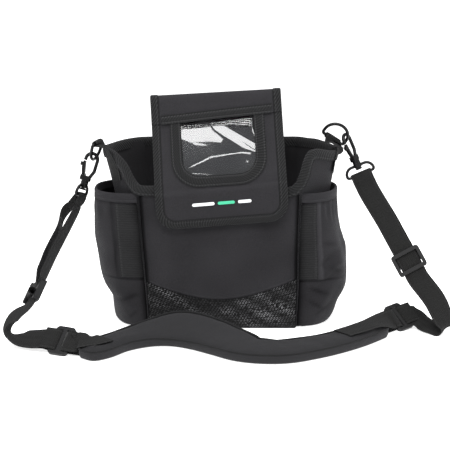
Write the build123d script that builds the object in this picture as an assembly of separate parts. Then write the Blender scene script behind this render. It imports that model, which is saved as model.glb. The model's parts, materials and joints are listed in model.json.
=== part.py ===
from build123d import *
import math
import os
from types import SimpleNamespace

import numpy as np

# Soft shoulder bag for a portable oxygen concentrator: bag body, side pockets, windowed flap,
# and a padded strap clipped to a ring on each side, with its pad lying on the ground in front.
# Millimetres. +Z up, +X to the right of the front view, -Y is the front.
# Origin: centre of the bag's base, on the ground plane. Names ending _r are at +X, _l at -X.

os.makedirs("parts", exist_ok=True)

# ---------------------------------------------------------------- bag dimensions
HALF_DEPTH = 62.0  # front to back
Z_TOP = 215.0
# half widths at the base and at Z_TOP: at the corners, and at the middle of the side gusset
BASE_CORNER, BASE_MIDDLE = 84.0, 93.0
TOP_CORNER, TOP_MIDDLE = 93.0, 138.0
# side gusset in plan: share of the bulge beyond the corner, share of the half depth
GUSSET = [(0.12, -0.93), (0.72, -0.5), (1.0, -0.1), (1.0, 0.1), (0.72, 0.5), (0.12, 0.93)]
# side view of the mouth: y, height
RIM = [
    (-95, 162.0), (-60, 162.0), (-51, 168.5), (-42, 177.5), (-31, 187.5), (-19, 193.0),
    (0, 195.0), (22, 198.5), (46, 202.5), (62, 203.0), (95, 203.0),
]

SHELL_T = 1.2  # woven outer fabric
PAD_T = 2.4  # foam faced with lining
LINING_GAP = 0.2  # between shell and padding
SEAM_GAP = 0.2  # between the side pieces and the front and back ones
SHELL_SEAM_Y = 60.5  # front and back panels lie beyond this
PADDING_SEAM_Y = 58.3
BASE_T = 1.6
WALL_FOOT = 1.8  # where walls and base board start
BOARD_TOP = 4.3
BOARD_GAP = 0.8
BINDING_H = 10.0
BINDING_T = 1.1
BINDING_OUT_GAP = 0.15
BINDING_IN_GAP = 0.35
BINDING_TOP_GAP = 0.2
VENT_SIDE, VENT_MID = 56.0, 36.0  # height of the vent mesh at the corners and the middle
VENT_GAP = 0.15
VENT_PAD_LAP = 3.0  # the padding reaches this far below the mesh's upper edge

# reach of cutting blocks beyond the bag
FAR_X, FAR_Y, FAR_Z = 200, 90, 230

made = {}


def out(name, shape):
    made[name] = shape


# ---------------------------------------------------------------- vectors and shapes
def vec(*parts):
    return np.array(parts, float)


def unit(v):
    v = np.array(v, float)
    return v / np.linalg.norm(v)


def square_to(v, axis):
    """Unit vector nearest v that is square to the unit vector axis."""
    v = np.array(v, float)
    return unit(v - np.dot(v, axis) * axis)


def floats(v):
    return tuple(map(float, v))


def catmull(points, per):
    """Smooth curve through rows of numbers, with per steps between rows."""
    p = [np.array(q, float) for q in points]
    p = [2 * p[0] - p[1]] + p + [2 * p[-1] - p[-2]]
    curve = []
    for i in range(1, len(p) - 2):
        before, start, end, after = p[i - 1 : i + 3]
        for k in range(per):
            t = k / per
            linear = (end - before) * t
            square = (2 * before - 5 * start + 4 * end - after) * t * t
            cubic = (3 * start - before - 3 * end + after) * t**3
            curve.append(0.5 * (2 * start + linear + square + cubic))
    curve.append(p[-2])
    return curve


def ribbon(stations, low, high):
    """Strip from low to high along the normal.

    Stations are (centre, width direction, normal, half width).
    """
    wires = []
    for centre, width, normal, half in stations:
        corners = [
            centre - width * half + normal * low,
            centre + width * half + normal * low,
            centre + width * half + normal * high,
            centre - width * half + normal * high,
        ]
        wires.append(Wire.make_polygon([floats(v) for v in corners], close=True))
    return Solid.make_loft(wires, ruled=True)


def place(shape, origin, x, z):
    """Local shape put at origin with its X along x and its Z along z."""
    plane = Plane(origin=floats(origin), x_dir=floats(x), z_dir=floats(z))
    return shape.moved(plane.location)


def block(x0, x1, y0, y1, z0, z1):
    return Pos((x0 + x1) / 2, (y0 + y1) / 2, (z0 + z1) / 2) * Box(x1 - x0, y1 - y0, z1 - z0)


def solid_of(shape):
    """The single solid of a boolean result, or all its solids as one group."""
    solids = shape.solids()
    return solids[0] if len(solids) == 1 else Compound(children=list(solids))


def group(shape):
    return Compound(children=list(shape.solids()))


def largest(shape):
    return max(shape.solids(), key=lambda s: s.volume)


def with_mirror(shape):
    return Compound(children=[shape, shape.mirror(Plane.YZ)])


# ---------------------------------------------------------------- bag envelope
def offset_line(points, distance):
    """Open line in plan moved to the right of its direction, with mitred corners."""
    p = [np.array(q, float) for q in points]
    moved = []
    for i, q in enumerate(p):
        normals = []
        if i:
            t = unit(q - p[i - 1])
            normals.append(vec(t[1], -t[0]))
        if i < len(p) - 1:
            t = unit(p[i + 1] - q)
            normals.append(vec(t[1], -t[0]))
        mitre = unit(sum(normals))
        moved.append(q + mitre * (distance / np.dot(mitre, normals[0])))
    return moved


def outline(z, offset):
    """Bag plan at height z, grown outward by offset."""
    corner = BASE_CORNER + (TOP_CORNER - BASE_CORNER) * z / Z_TOP
    bulge = BASE_MIDDLE + (TOP_MIDDLE - BASE_MIDDLE) * z / Z_TOP - corner
    right = [(corner + bulge * out_share, HALF_DEPTH * y_share) for out_share, y_share in GUSSET]
    ring = [(-corner, -HALF_DEPTH), (corner, -HALF_DEPTH)] + right
    ring += [(corner, HALF_DEPTH), (-corner, HALF_DEPTH)] + [(-x, -y) for x, y in right]
    loop = offset_line([ring[-1]] + ring + [ring[0]], offset)[1:-1]
    return [(float(x), float(y), z) for x, y in loop]


def envelope(offset, z0=0.0, z1=Z_TOP):
    wires = [Wire.make_polygon(outline(z, offset), close=True) for z in (z0, z1)]
    return Solid.make_loft(wires, ruled=True)


def under_rim(rise, low=-20.0):
    """Everything below the mouth line raised by rise."""
    points = [(-FAR_X, y, z + rise) for y, z in RIM]
    points += [(-FAR_X, RIM[-1][0], low), (-FAR_X, RIM[0][0], low)]
    return extrude(Face(Wire.make_polygon(points, close=True)), 2 * FAR_X, dir=(1, 0, 0))


def below_vent_line(rise):
    """Front region below the vent's sagging upper edge raised by rise."""
    drop = VENT_SIDE - VENT_MID
    points = [
        (x, -FAR_Y, VENT_MID + drop * (x / BASE_CORNER) ** 2 + rise)
        for x in (-100, -70, -42, -14, 14, 42, 70, 100)
    ]
    points += [(100, -FAR_Y, -20), (-100, -FAR_Y, -20)]
    return extrude(Face(Wire.make_polygon(points, close=True)), 60, dir=(0, 1, 0))


def slab(y0, y1, z0=0):
    """Full-width cutting block between two y values."""
    return block(-FAR_X, FAR_X, y0, y1, z0, FAR_Z)


# outer fabric
shell = (envelope(0) - envelope(-SHELL_T)) & under_rim(0) & slab(-FAR_Y, FAR_Y, WALL_FOOT)
front = shell & slab(-FAR_Y, -SHELL_SEAM_Y)
out("front_panel", solid_of(front - below_vent_line(VENT_GAP)))
out("vent_mesh", solid_of(front & below_vent_line(-VENT_GAP)))
out("back_panel", solid_of(shell & slab(SHELL_SEAM_Y, FAR_Y)))
sides = shell & slab(-SHELL_SEAM_Y + SEAM_GAP, SHELL_SEAM_Y - SEAM_GAP)
out("side_panel_l", solid_of(sides & block(-FAR_X, 0, -70, 70, 0, FAR_Z)))
out("side_panel_r", solid_of(sides & block(0, FAR_X, -70, 70, 0, FAR_Z)))

# padding inside it
PADDING_OUT = -SHELL_T - LINING_GAP
padding = envelope(PADDING_OUT) - envelope(PADDING_OUT - PAD_T)
padding = padding & under_rim(-LINING_GAP) & slab(-FAR_Y, FAR_Y, WALL_FOOT)
front_padding = padding & slab(-FAR_Y, -PADDING_SEAM_Y)
out("front_padding", solid_of(front_padding - below_vent_line(-VENT_PAD_LAP)))
out("back_padding", solid_of(padding & slab(PADDING_SEAM_Y, FAR_Y)))
PADDING_SIDE_Y = PADDING_SEAM_Y - SEAM_GAP
out("side_padding", solid_of(padding & slab(-PADDING_SIDE_Y, PADDING_SIDE_Y)))

# base
out("base_panel", envelope(0.0, 0.0, BASE_T))
out("base_board", envelope(-SHELL_T - PAD_T - BOARD_GAP, WALL_FOOT, BOARD_TOP))

# binding folded over the mouth: a ring less the room for shell and padding
BINDING_INNER = -SHELL_T - PAD_T - BINDING_IN_GAP
ring = (envelope(BINDING_T + BINDING_OUT_GAP) - envelope(BINDING_INNER - BINDING_T)) & (
    under_rim(BINDING_T + BINDING_TOP_GAP) - under_rim(-BINDING_H)
)
core = (envelope(BINDING_OUT_GAP) - envelope(BINDING_INNER)) & under_rim(BINDING_TOP_GAP)
out("rim_binding", solid_of(ring - core))

# sewn feet of the ring tabs, outside the binding
tab_layer = (envelope(BINDING_T + 2.2) - envelope(BINDING_T + 0.5)) & under_rim(1.2)
out("tab_base_l", solid_of(tab_layer & block(-FAR_X, 0, -18, 3, 166, 191)))
out("tab_base_r", solid_of(tab_layer & block(0, FAR_X, -10, 12, 168, 200)))

# ---------------------------------------------------------------- side pockets
# plan of the right pocket wall at full scale: x beyond the corner, y
POCKET_PLAN = [
    (0.6, -57.0), (24.0, -53.5), (44.0, -36.0), (50.0, -10.0),
    (47.0, 20.0), (30.0, 44.0), (2.0, 57.0),
]
# height, x of the corner, scale of the plan's x
POCKET_LEVELS = [(2.0, 84.4, 0.70), (60.0, 86.8, 0.98), (152.5, 90.6, 0.93)]
POCKET_T = 1.4
POCKET_FOOT, POCKET_TOP = 2.0, 150.0
POCKET_FLOOR = 4.0
POCKET_BAG_GAP = 0.3
TRIM_BAG_GAP = 1.6  # hem and elastic to bag
TAIL = vec(20, 0)  # run of the pocket's ends into the bag


def pocket_outline(z, offset):
    heights, corners, scales = zip(*POCKET_LEVELS)
    corner = np.interp(z, heights, corners)
    scale = np.interp(z, heights, scales)
    points = [vec(corner + x * scale, y) for x, y in POCKET_PLAN]
    loop = offset_line([points[0] - TAIL] + points + [points[-1] - TAIL], offset)
    return Wire.make_polygon([(float(x), float(y), z) for x, y in loop], close=True)


def pocket_envelope(offset, z0, z1):
    heights = [z0] + [level[0] for level in POCKET_LEVELS if z0 < level[0] < z1] + [z1]
    return Solid.make_loft([pocket_outline(z, offset) for z in heights], ruled=True)


def pocket_band(outer, inner, z0, z1):
    """Band round the pocket, between two offsets, clear of the bag."""
    band = pocket_envelope(outer, z0, z1) - pocket_envelope(inner, z0 - 1, z1 + 1)
    return band - envelope(TRIM_BAG_GAP)


pocket = pocket_envelope(0, POCKET_FOOT, POCKET_TOP) - pocket_envelope(
    -POCKET_T, POCKET_FLOOR, POCKET_TOP + 2.4
)
pocket = largest(pocket - envelope(POCKET_BAG_GAP))
out("pocket_r", pocket)
out("pocket_l", pocket.mirror(Plane.YZ))
out("pocket_hems", with_mirror(largest(pocket_band(1.3, 0.12, 138.0, 150.6))))
# the elastics cover only the pockets' front corners
elastic = pocket_band(1.4, 0.15, 51.0, 137.6) & block(88, 118.5, -70, -30, 50, 138)
out("pocket_elastics", with_mirror(largest(elastic)))

# ---------------------------------------------------------------- flap
FLAP_W = 147.0
FLAP_T = 2.0
FLAP_TILT = 4.5  # the whole flap leans, its right side higher
FLAP_PIVOT = Axis((2, 0, 160), (0, 1, 0))
# side view of the flap's folds: y, z
HINGE = (66.0, 212.0)  # at the rear
FOLD = (-28.0, 260.0)  # at the top
CREASE = (-70.3, 160.0)  # over the front rim
LOWER_EDGE = (-71.8, 122.5)
RETURN_LEN = math.dist(HINGE, FOLD)
FACE_LEN = math.dist(FOLD, CREASE)
TIP_LEN = math.dist(CREASE, LOWER_EDGE)

SHEET_HALF = FLAP_W / 2 - 0.9  # half width of the panels inside the tape
SKIN = FLAP_T / 2  # sheet surface, from its middle plane
TAPE_W = 11.0
TAPE_HALF = FLAP_W / 2 + 0.4  # outer edge of the tape
TAPE_IN = FLAP_W / 2 - TAPE_W  # inner edge of the tape
TAPE_BACK, TAPE_FRONT = -SKIN - 1.1, SKIN + 1.3
TAPE_GAP = 0.12
TAPE_OVERHANG = 1.3  # beyond the lower edge
WIN_HALF = 41.0
WIN_TOP, WIN_BOTTOM = 25.0, 92.0  # distances down from the fold

X = vec(1, 0, 0)


def tilted(shape):
    return shape.rotate(FLAP_PIVOT, -FLAP_TILT)


def on_flap(start, end, local):
    """Panel-frame shape on the panel from start to end: x across, -y towards end, z outward."""
    run = unit(vec(0, end[0] - start[0], end[1] - start[1]))
    normal = unit(np.cross(run, X))
    return tilted(place(local, (0, *start), X, normal))


def on_return(local):
    return on_flap(HINGE, FOLD, local)


def on_face(local):
    return on_flap(FOLD, CREASE, local)


def on_tip(local):
    return on_flap(CREASE, LOWER_EDGE, local)


def sheet(run0, run1, x0, x1, z0, z1):
    """Block from run0 to run1 along the panel, in the panel's frame."""
    return block(x0, x1, -run1, -run0, z0, z1)


def round_sheet(half, run0, run1, radius, z0, z1):
    """Sheet with its two lower corners rounded."""
    plate = sheet(run0, run1, -half, half, z0, z1)
    middle = -(run0 + run1) / 2
    lower = [e for e in plate.edges().filter_by(Axis.Z) if e.center().Y < middle]
    return fillet(lower, radius)


def edge_tapes(run0, run1):
    """Channel-shaped tape on both side edges."""
    slot_z = SKIN + TAPE_GAP
    strip = sheet(run0, run1, TAPE_IN, TAPE_HALF, TAPE_BACK, TAPE_FRONT)
    slot = sheet(run0 - 1, run1 + 1, TAPE_IN - 1, SHEET_HALF + TAPE_GAP, -slot_z, slot_z)
    return with_mirror(solid_of(strip - slot))


# rear part, from the hinge up to the fold
out("flap_anchor_strip", solid_of(tilted(block(-SHEET_HALF, SHEET_HALF, 64.6, 66.2, 184, 208.0))))
return_sheet = sheet(2.5, RETURN_LEN - 3.2, -SHEET_HALF, SHEET_HALF, -SKIN, SKIN)
out("flap_return_panel", solid_of(on_return(return_sheet)))
out("flap_return_tape", group(on_return(edge_tapes(3.0, RETURN_LEN - 3.4))))

# face with its window
face = sheet(3.2, FACE_LEN - 2.6, -SHEET_HALF, SHEET_HALF, -SKIN, SKIN)
face = face - round_sheet(WIN_HALF + 3.0, WIN_TOP - 2, WIN_BOTTOM + 3, 22.0, -3, 3)
out("flap_face_panel", solid_of(on_face(face)))
out("flap_face_tape", group(on_face(edge_tapes(3.4, FACE_LEN - 2.8))))
BAND_HALF = TAPE_IN - 0.2
band = sheet(3.6, WIN_TOP - 0.2, -BAND_HALF, BAND_HALF, SKIN + 0.1, SKIN + 1.4)
out("flap_top_band", solid_of(on_face(band)))
binding = round_sheet(WIN_HALF + 12, WIN_TOP, WIN_BOTTOM + 11.5, 30.0, SKIN + 0.1, SKIN + 1.1)
binding = binding - round_sheet(WIN_HALF, WIN_TOP - 4, WIN_BOTTOM, 19.0, -1, 5)
out("window_binding", solid_of(on_face(binding)))
film = round_sheet(WIN_HALF + 9, WIN_TOP - 6, WIN_BOTTOM + 8, 26.0, -SKIN - 0.65, -SKIN - 0.15)
out("window_film", solid_of(on_face(film)))
SCRIM_HALF = WIN_HALF + 6
scrim = sheet(WIN_TOP - 6, WIN_TOP + 15, -SCRIM_HALF, SCRIM_HALF, -SKIN - 1.1, -SKIN - 0.75)
out("window_scrim", solid_of(on_face(scrim)))

# tip hanging over the front rim
out("flap_tip_panel", solid_of(on_tip(round_sheet(SHEET_HALF, 2.6, TIP_LEN, 21.0, -SKIN, SKIN))))
TAPE_END = TIP_LEN + TAPE_OVERHANG
tip_tape = round_sheet(TAPE_HALF, 2.8, TAPE_END, 22.0, TAPE_BACK, TAPE_FRONT)
tip_tape = tip_tape - round_sheet(
    SHEET_HALF + TAPE_GAP, 1.0, TIP_LEN + TAPE_GAP, 21.1, -SKIN - TAPE_GAP, SKIN + TAPE_GAP
)
tip_tape = tip_tape - round_sheet(TAPE_IN, 1.0, TAPE_END - TAPE_W, 15.0, -9, 9)
out("flap_tip_tape", solid_of(on_tip(tip_tape)))
out("flap_hook_patch", solid_of(on_tip(sheet(10, 26, -52, 52, -SKIN - 2.6, -SKIN - 0.1))))
STRIPES_X = [(-33, -8), (-5, 15), (18, 33)]
stripes = [sheet(11.5, 15.0, x0, x1, SKIN + 0.05, SKIN + 0.45) for x0, x1 in STRIPES_X]
out("flap_stripes", group(on_tip(Compound(children=stripes))))
# mating patch on the bag's front
out("front_loop_patch", solid_of(tilted(block(-50, 54, -64.3, -63.2, 127, 146))))

# ---------------------------------------------------------------- strap data
WEB_W = 25.0  # strap webbing
WEB_T = 1.2
WEB_HALF = WEB_W / 2

# ring_at: middle of the ring's straight bar      ring_bar: direction of that bar
# ring_up: from the bar towards the ring's arc    shank: up the snap hook
# contact: degrees round the ring's arc from ring_bar to the hook
# eye_bar: direction of the swivel eye's bar      tab_len: webbing tunnel on the ring
# slider_at: where the strap passes the slider    slider_width: strap's width direction there
# below_eye: width direction just below the eye (None: the eye bar's own)
# bulge: how far the returning strand bows away from the standing one
# tail: strand from slider to pad loop, as centre x y z, width direction x y z
# loop_at, loop_to_pad, loop_bar: pad loop's centre, direction to the pad, bar direction
SIDES = {
    "r": SimpleNamespace(
        ring_at=vec(128.7, 0.0, 209.7), ring_bar=(0.84, 0.08, -0.53),
        ring_up=(0.46, -0.40, 0.78), shank=(-0.40, 0.05, 0.915),
        contact=10, eye_bar=(0.92, -0.06, 0.39), tab_len=18,
        slider_at=vec(213.5, -50.0, 76.0), slider_width=(0.87, 0.0, 0.48),
        below_eye=None, bulge=4.0,
        tail=[
            (239.0, -75.0, 38.0, 0.86, 0.10, 0.42), (247.5, -84.0, 20.0, 0.80, 0.40, 0.35),
            (250.5, -88.0, 9.0, 0.62, 0.70, 0.30), (246.0, -85.0, 3.6, 0.35, 0.90, 0.20),
            (238.5, -78.0, 4.0, 0.12, 0.97, 0.20), (231.0, -65.0, 6.5, -0.15, 0.90, 0.30),
            (222.0, -55.5, 11.0, -0.30, 0.75, 0.50),
        ],
        loop_at=vec(202.0, -61.0, 13.0), loop_to_pad=(-0.82, -0.55, -0.15),
        loop_bar=(-0.44, 0.61, 0.64),
    ),
    "l": SimpleNamespace(
        ring_at=vec(-142.5, -2.0, 205.0), ring_bar=(0.30, 0.95, 0.08),
        ring_up=(-0.25, 0.10, -0.95), shank=(0.30, 0.15, 0.94),
        contact=120, eye_bar=(0.25, 0.95, -0.23), tab_len=19,
        slider_at=vec(-206.0, -88.0, 49.0), slider_width=(-0.50, 0.77, -0.40),
        below_eye=(0.20, 0.95, -0.20), bulge=9.0,
        tail=[
            (-223.0, -113.0, 23.5, -0.30, 0.90, -0.32), (-229.5, -122.0, 15.0, 0.02, 0.97, -0.22),
            (-230.5, -130.0, 8.0, 0.24, 0.96, -0.05), (-224.0, -135.0, 3.6, 0.35, 0.93, 0.10),
            (-214.0, -139.0, 6.0, 0.34, 0.88, 0.30), (-203.0, -143.5, 10.5, 0.32, 0.80, 0.50),
            (-189.0, -149.0, 13.8, 0.28, 0.74, 0.60),
        ],
        loop_at=vec(-168.5, -157.0, 13.0), loop_to_pad=(0.93, -0.36, -0.05),
        loop_bar=(0.25, 0.70, 0.67),
    ),
}

# ---------------------------------------------------------------- ring, hook and swivel eye
WIRE_R = 1.8  # D-ring wire
RING_HALF = 14.2
RING_CORNER = 3.0
RING_RISE = 6.0  # straight bar to the arc's centre
TAB_R, TAB_BORE_R = 3.7, 2.25
HOOK_R = 2.0  # section radius
HOOK_HALF = 7.2
HOOK_ABOVE = 6.2  # top of the hook's centre line above the ring wire
GATE_PIN_XY = (-4.0, -29.0)
PIN_R, PIN_HOLE_R = 0.98, 1.05
EYE_R = 1.7
EYE_HALF = 16.2
EYE_FOOT, EYE_SHOULDER = 2.5, 8.5  # corner radii
EYE_BOSS_Y, EYE_BAR_Y = -38.2, -49.7
DIAG = math.sqrt(0.5)


def wire_bar(points, arcs, radius):
    """Round bar through points in local XY; arcs maps a leg to a point its arc passes."""
    edges = []
    for i in range(len(points) - 1):
        start, end = (*points[i], 0), (*points[i + 1], 0)
        if i in arcs:
            edges.append(Edge.make_three_point_arc(start, (*arcs[i], 0), end))
        else:
            edges.append(Edge.make_line(start, end))
    run = unit(vec(*points[1]) - vec(*points[0]))
    plane = Plane(origin=(*points[0], 0), z_dir=(float(run[0]), float(run[1]), 0))
    return sweep(plane * Circle(radius), path=Wire(edges), transition=Transition.RIGHT)


def d_ring():
    """Local: straight bar along X through the origin, arc towards +Y."""
    a, corner, rise = RING_HALF, RING_CORNER, RING_RISE
    points = [(0, 0), (a - corner, 0), (a, corner), (a, rise), (0, rise + a)]
    arcs = {
        1: (a - corner + corner * DIAG, corner - corner * DIAG),
        3: (a * DIAG, rise + a * DIAG),
    }
    half = wire_bar(points, arcs, WIRE_R)
    return solid_of(half + half.mirror(Plane.YZ))


def tab_loop(length):
    """Local: webbing tunnel along X round the ring's bar."""
    along_x = Rot(0, 90, 0)
    return (along_x * Cylinder(TAB_R, length)) - (along_x * Cylinder(TAB_BORE_R, length + 2))


def shank_disc(y, radius, height):
    """Cylinder on the hook's shank axis."""
    return Pos(0, y, 0) * (Rot(90, 0, 0) * Cylinder(radius, height))


def at_pin(radius, height):
    return Pos(*GATE_PIN_XY, 0) * Cylinder(radius, height)


# hook pieces share a frame: x across the hook, y up the shank, z square to the hook
def hook_frame():
    a = HOOK_HALF
    points = [(3.0, -30.0), (a, -20.0), (a, -a), (-a, -a), (-a, -9.6)]
    body = wire_bar(points, {2: (0, 0)}, HOOK_R)
    body = body + block(-6.6, 5.2, -32.5, -26.6, -2.9, 2.9)  # shoulder
    body = body - block(-9.0, -1.2, -31.0, -20.0, -1.75, 1.75)  # gate slot
    body = body - at_pin(PIN_HOLE_R, 8)
    body = body + shank_disc(-33.7, 4.4, 3.4)  # collar
    body = body + shank_disc(-38.5, 2.2, 7.0)  # swivel stem
    body = body + shank_disc(-42.5, 3.7, 2.0)  # stem head
    return solid_of(body)


def hook_gate():
    points = [
        (-8.5, -10.4), (-5.9, -10.4), (-2.3, -27.5), (-2.3, -30.6),
        (-5.7, -30.6), (-6.0, -27.0), (-8.8, -17.5),
    ]
    profile = Wire.make_polygon([(x, y, -1.5) for x, y in points], close=True)
    bar = extrude(Face(profile), 3.0, dir=(0, 0, 1))
    nub = block(-11.2, -8.4, -16.6, -12.2, -1.5, 1.5)
    return solid_of(bar + nub - at_pin(PIN_HOLE_R, 8))


def gate_pin():
    return at_pin(PIN_R, 5.8)


def gate_spring():
    """Spring leaf in the shoulder's slot, behind the gate."""
    return block(-2.0, -1.35, -30.5, -24.5, -0.9, 0.9)


def swivel_eye():
    """Local: boss on the hook's shank axis, with the webbing bar along X below it."""
    a, foot, shoulder, bar = EYE_HALF, EYE_FOOT, EYE_SHOULDER, EYE_BAR_Y
    points = [
        (0, bar), (a - foot, bar), (a, bar + foot),
        (a - shoulder, bar + foot + shoulder), (0, bar + foot + shoulder),
    ]
    arcs = {
        1: (a - foot + foot * DIAG, bar + foot - foot * DIAG),
        2: (a - shoulder + shoulder * DIAG, bar + foot + shoulder * DIAG),
    }
    half = wire_bar(points, arcs, EYE_R)
    eye = half + half.mirror(Plane.YZ)
    eye = eye + shank_disc(EYE_BOSS_Y, 4.5, 5.2)
    eye = eye - shank_disc(EYE_BOSS_Y, 2.28, 12)  # stem bore
    eye = eye - shank_disc(-43.9, 4.6, 6.0)  # room for the stem head
    return solid_of(eye)


def build_hardware(tag, side):
    """Ring, hook and eye; also sets the eye's place and the strap's directions on side."""
    ring_bar = unit(side.ring_bar)
    ring_up = square_to(side.ring_up, ring_bar)
    ring_normal = np.cross(ring_bar, ring_up)
    out("d_ring_" + tag, place(d_ring(), side.ring_at, ring_bar, ring_normal))
    tunnel = place(tab_loop(side.tab_len), side.ring_at, ring_bar, ring_normal)
    out("tab_loop_" + tag, solid_of(tunnel))

    # the ring wire passes squarely through the hook's plane
    angle = math.radians(side.contact)
    spoke = math.cos(angle) * ring_bar + math.sin(angle) * ring_up
    wire_run = -math.sin(angle) * ring_bar + math.cos(angle) * ring_up
    contact = side.ring_at + RING_RISE * ring_up + RING_HALF * spoke
    shank = unit(side.shank)
    normal = square_to(wire_run, shank)
    across = np.cross(shank, normal)
    if across[0] < 0:
        across, normal = -across, -normal
    origin = contact + HOOK_ABOVE * shank
    for piece in (hook_frame, hook_gate, gate_pin, gate_spring):
        out(piece.__name__ + "_" + tag, place(piece(), origin, across, normal))

    side.eye_bar = square_to(side.eye_bar, shank)
    eye = place(swivel_eye(), origin, side.eye_bar, np.cross(side.eye_bar, shank))
    out("swivel_eye_" + tag, eye)
    side.eye = origin + EYE_BAR_Y * shank
    side.down = unit(side.slider_at - side.eye)  # straight run from eye to slider
    side.leave = square_to(side.down, side.eye_bar)  # leaves the eye's bar squarely


# ---------------------------------------------------------------- shoulder pad
# near lower edge on the ground x, y; rise of the face from the horizontal in degrees; half width
PAD_PATH = [
    (-150.0, -172.0, 8.0, 12.0), (-143.0, -181.5, 7.0, 17.0), (-131.0, -189.0, 3.0, 20.0),
    (-115.0, -177.0, 3.0, 20.0), (-98.0, -153.0, 3.0, 18.0), (-76.0, -137.5, 10.0, 20.5),
    (-54.0, -135.0, 24.0, 24.0), (-32.0, -147.0, 18.0, 25.0), (-10.0, -167.0, 10.0, 25.0),
    (14.0, -189.0, 4.0, 25.0), (42.0, -199.0, 3.0, 25.0), (72.0, -197.0, 2.0, 24.0),
    (102.0, -181.0, 2.0, 22.0), (130.0, -160.0, 2.0, 19.5), (156.0, -135.0, 3.0, 18.0),
    (178.0, -108.0, 7.0, 15.0), (188.0, -92.0, 6.0, 13.0),
]
PAD_THICK = 11.0
COVER_T = 1.0
FOAM_INSET = 1.3
PAD_LIFT = 0.6  # lower edge above the ground


def pad_stations():
    rows = catmull(PAD_PATH, 2)
    stations = []
    for i, (x, y, rise, half) in enumerate(rows):
        before, after = rows[max(i - 1, 0)], rows[min(i + 1, len(rows) - 1)]
        run = unit(vec(after[0] - before[0], after[1] - before[1], 0))
        level = vec(-run[1], run[0], 0)
        angle = math.radians(rise)
        width = level * math.cos(angle) + vec(0, 0, 1) * math.sin(angle)
        normal = unit(np.cross(run, width))
        stations.append((vec(x, y, PAD_LIFT) + width * half, width, normal, half))
    return stations


pad = pad_stations()
out("pad_base_cover", ribbon(pad, 0.0, COVER_T))
foam = [(centre, width, normal, half - FOAM_INSET) for centre, width, normal, half in pad]
out("pad_foam", ribbon(foam, 1.6, PAD_THICK - 1.7))
out("pad_top_cover", ribbon(pad, PAD_THICK - COVER_T, PAD_THICK))

# ---------------------------------------------------------------- pad loops and their tabs
LOOP_REACH = 12.3  # loop centre to where the flat webbing starts
SLOT_HALF = 13.2  # half length of the slots in loops and sliders


def pad_loop():
    """Local: three-bar loop in XY, bars along X, pad side +Y."""
    body = block(-17, 17, -11.5, 11.5, -1.9, 1.9)
    body = fillet(body.edges().filter_by(Axis.Z), 4.5)
    body = body - block(-SLOT_HALF, SLOT_HALF, 2.1, 8.2, -3, 3)
    body = body - block(-SLOT_HALF, SLOT_HALF, -8.2, -2.1, -3, 3)
    return solid_of(body)


def bar_wrap():
    """Local: webbing folded round the loop's outer bar on the +Y side."""
    sleeve = block(-WEB_HALF, WEB_HALF, 6.5, 12.9, -3.2, 3.2)
    return sleeve - block(-13, 13, 7.8, 11.75, -2.05, 2.05)


def build_pad_end(tag, side, pad_end):
    """Loop, and the tab from it along the pad's top; also sets the loop's frame on side."""
    to_pad = unit(side.loop_to_pad)
    bar = square_to(side.loop_bar, to_pad)
    normal = np.cross(bar, to_pad)
    if normal[2] < 0:
        bar, normal = -bar, -normal
    side.loop_to_pad, side.loop_bar, side.loop_normal = to_pad, bar, normal
    out("pad_loop_" + tag, place(pad_loop(), side.loop_at, bar, normal))

    half = WEB_HALF - 0.5
    flip = -1.0 if np.dot(pad_end[0][1], bar) < 0 else 1.0
    rows = [(side.loop_at + to_pad * reach, bar, normal, half) for reach in (LOOP_REACH, 14.5)]
    for centre, width, up, _ in pad_end:
        rows.append((centre + up * (PAD_THICK + 1.3), width * flip, up, half))
    wrap = place(bar_wrap(), side.loop_at, bar, normal)
    out("pad_tab_" + tag, solid_of(ribbon(rows, -WEB_T / 2, WEB_T / 2) + wrap))


# ---------------------------------------------------------------- webbing
TURN_R = EYE_R + 0.35 + WEB_T / 2  # webbing's middle round the eye's bar


def standing_strand(side):
    """Stations from below the eye, through the slider, to the pad loop; normals to the front."""
    below_eye = side.eye_bar if side.below_eye is None else side.below_eye
    knots = [
        (*(side.eye + side.leave * 8.0), *side.eye_bar),
        (*(side.eye + side.leave * 14 + side.down * 12.0), *below_eye),
    ]
    for step in (-54, -36, -18, 0, 12, 24):  # distances past the slider
        knots.append((*(side.slider_at + side.down * step), *side.slider_width))
    knots += side.tail
    bar = side.loop_bar
    if np.dot(side.tail[-1][3:], bar) < 0:
        bar = -bar
    knots.append((*(side.loop_at - side.loop_to_pad * LOOP_REACH), *bar))

    rows = catmull(knots, 3)
    stations = []
    for i, row in enumerate(rows):
        before, after = rows[max(i - 1, 0)], rows[min(i + 1, len(rows) - 1)]
        run = unit(after[:3] - before[:3])
        width = square_to(unit(row[3:]), run)
        stations.append((row[:3], width, unit(np.cross(run, width)), WEB_HALF))
    sign = 1.0 if stations[2][2][1] < 0 else -1.0
    return [(centre, width, normal * sign, half) for centre, width, normal, half in stations]


def slider():
    """Local: x across the strap, y up it, z to its front; strands pass behind the outer bars."""
    half, length, bar_in = 17.2, 13, 8.6
    back, mid_front, bar_back, front_z = -4.6, -2.55, 0.95, 2.9
    rails = block(-half, -SLOT_HALF, -length, length, back, front_z) + block(
        SLOT_HALF, half, -length, length, back, front_z
    )
    bars = block(-half, half, bar_in, length, bar_back, front_z) + block(
        -half, half, -length, -bar_in, bar_back, front_z
    )
    middle = block(-half, half, -2.2, 2.2, back, mid_front)
    body = rails + bars + middle

    def is_corner(edge):
        at = edge.center()
        return abs(abs(at.X) - half) < 0.1 and abs(abs(at.Y) - length) < 0.1

    # guards the corner fillet: if it can't be made, the corners stay square
    try:
        body = fillet([e for e in body.edges().filter_by(Axis.Z) if is_corner(e)], 3.6)
    except Exception as err:
        print("slider corners left square:", err)
    return solid_of(body)


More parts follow.
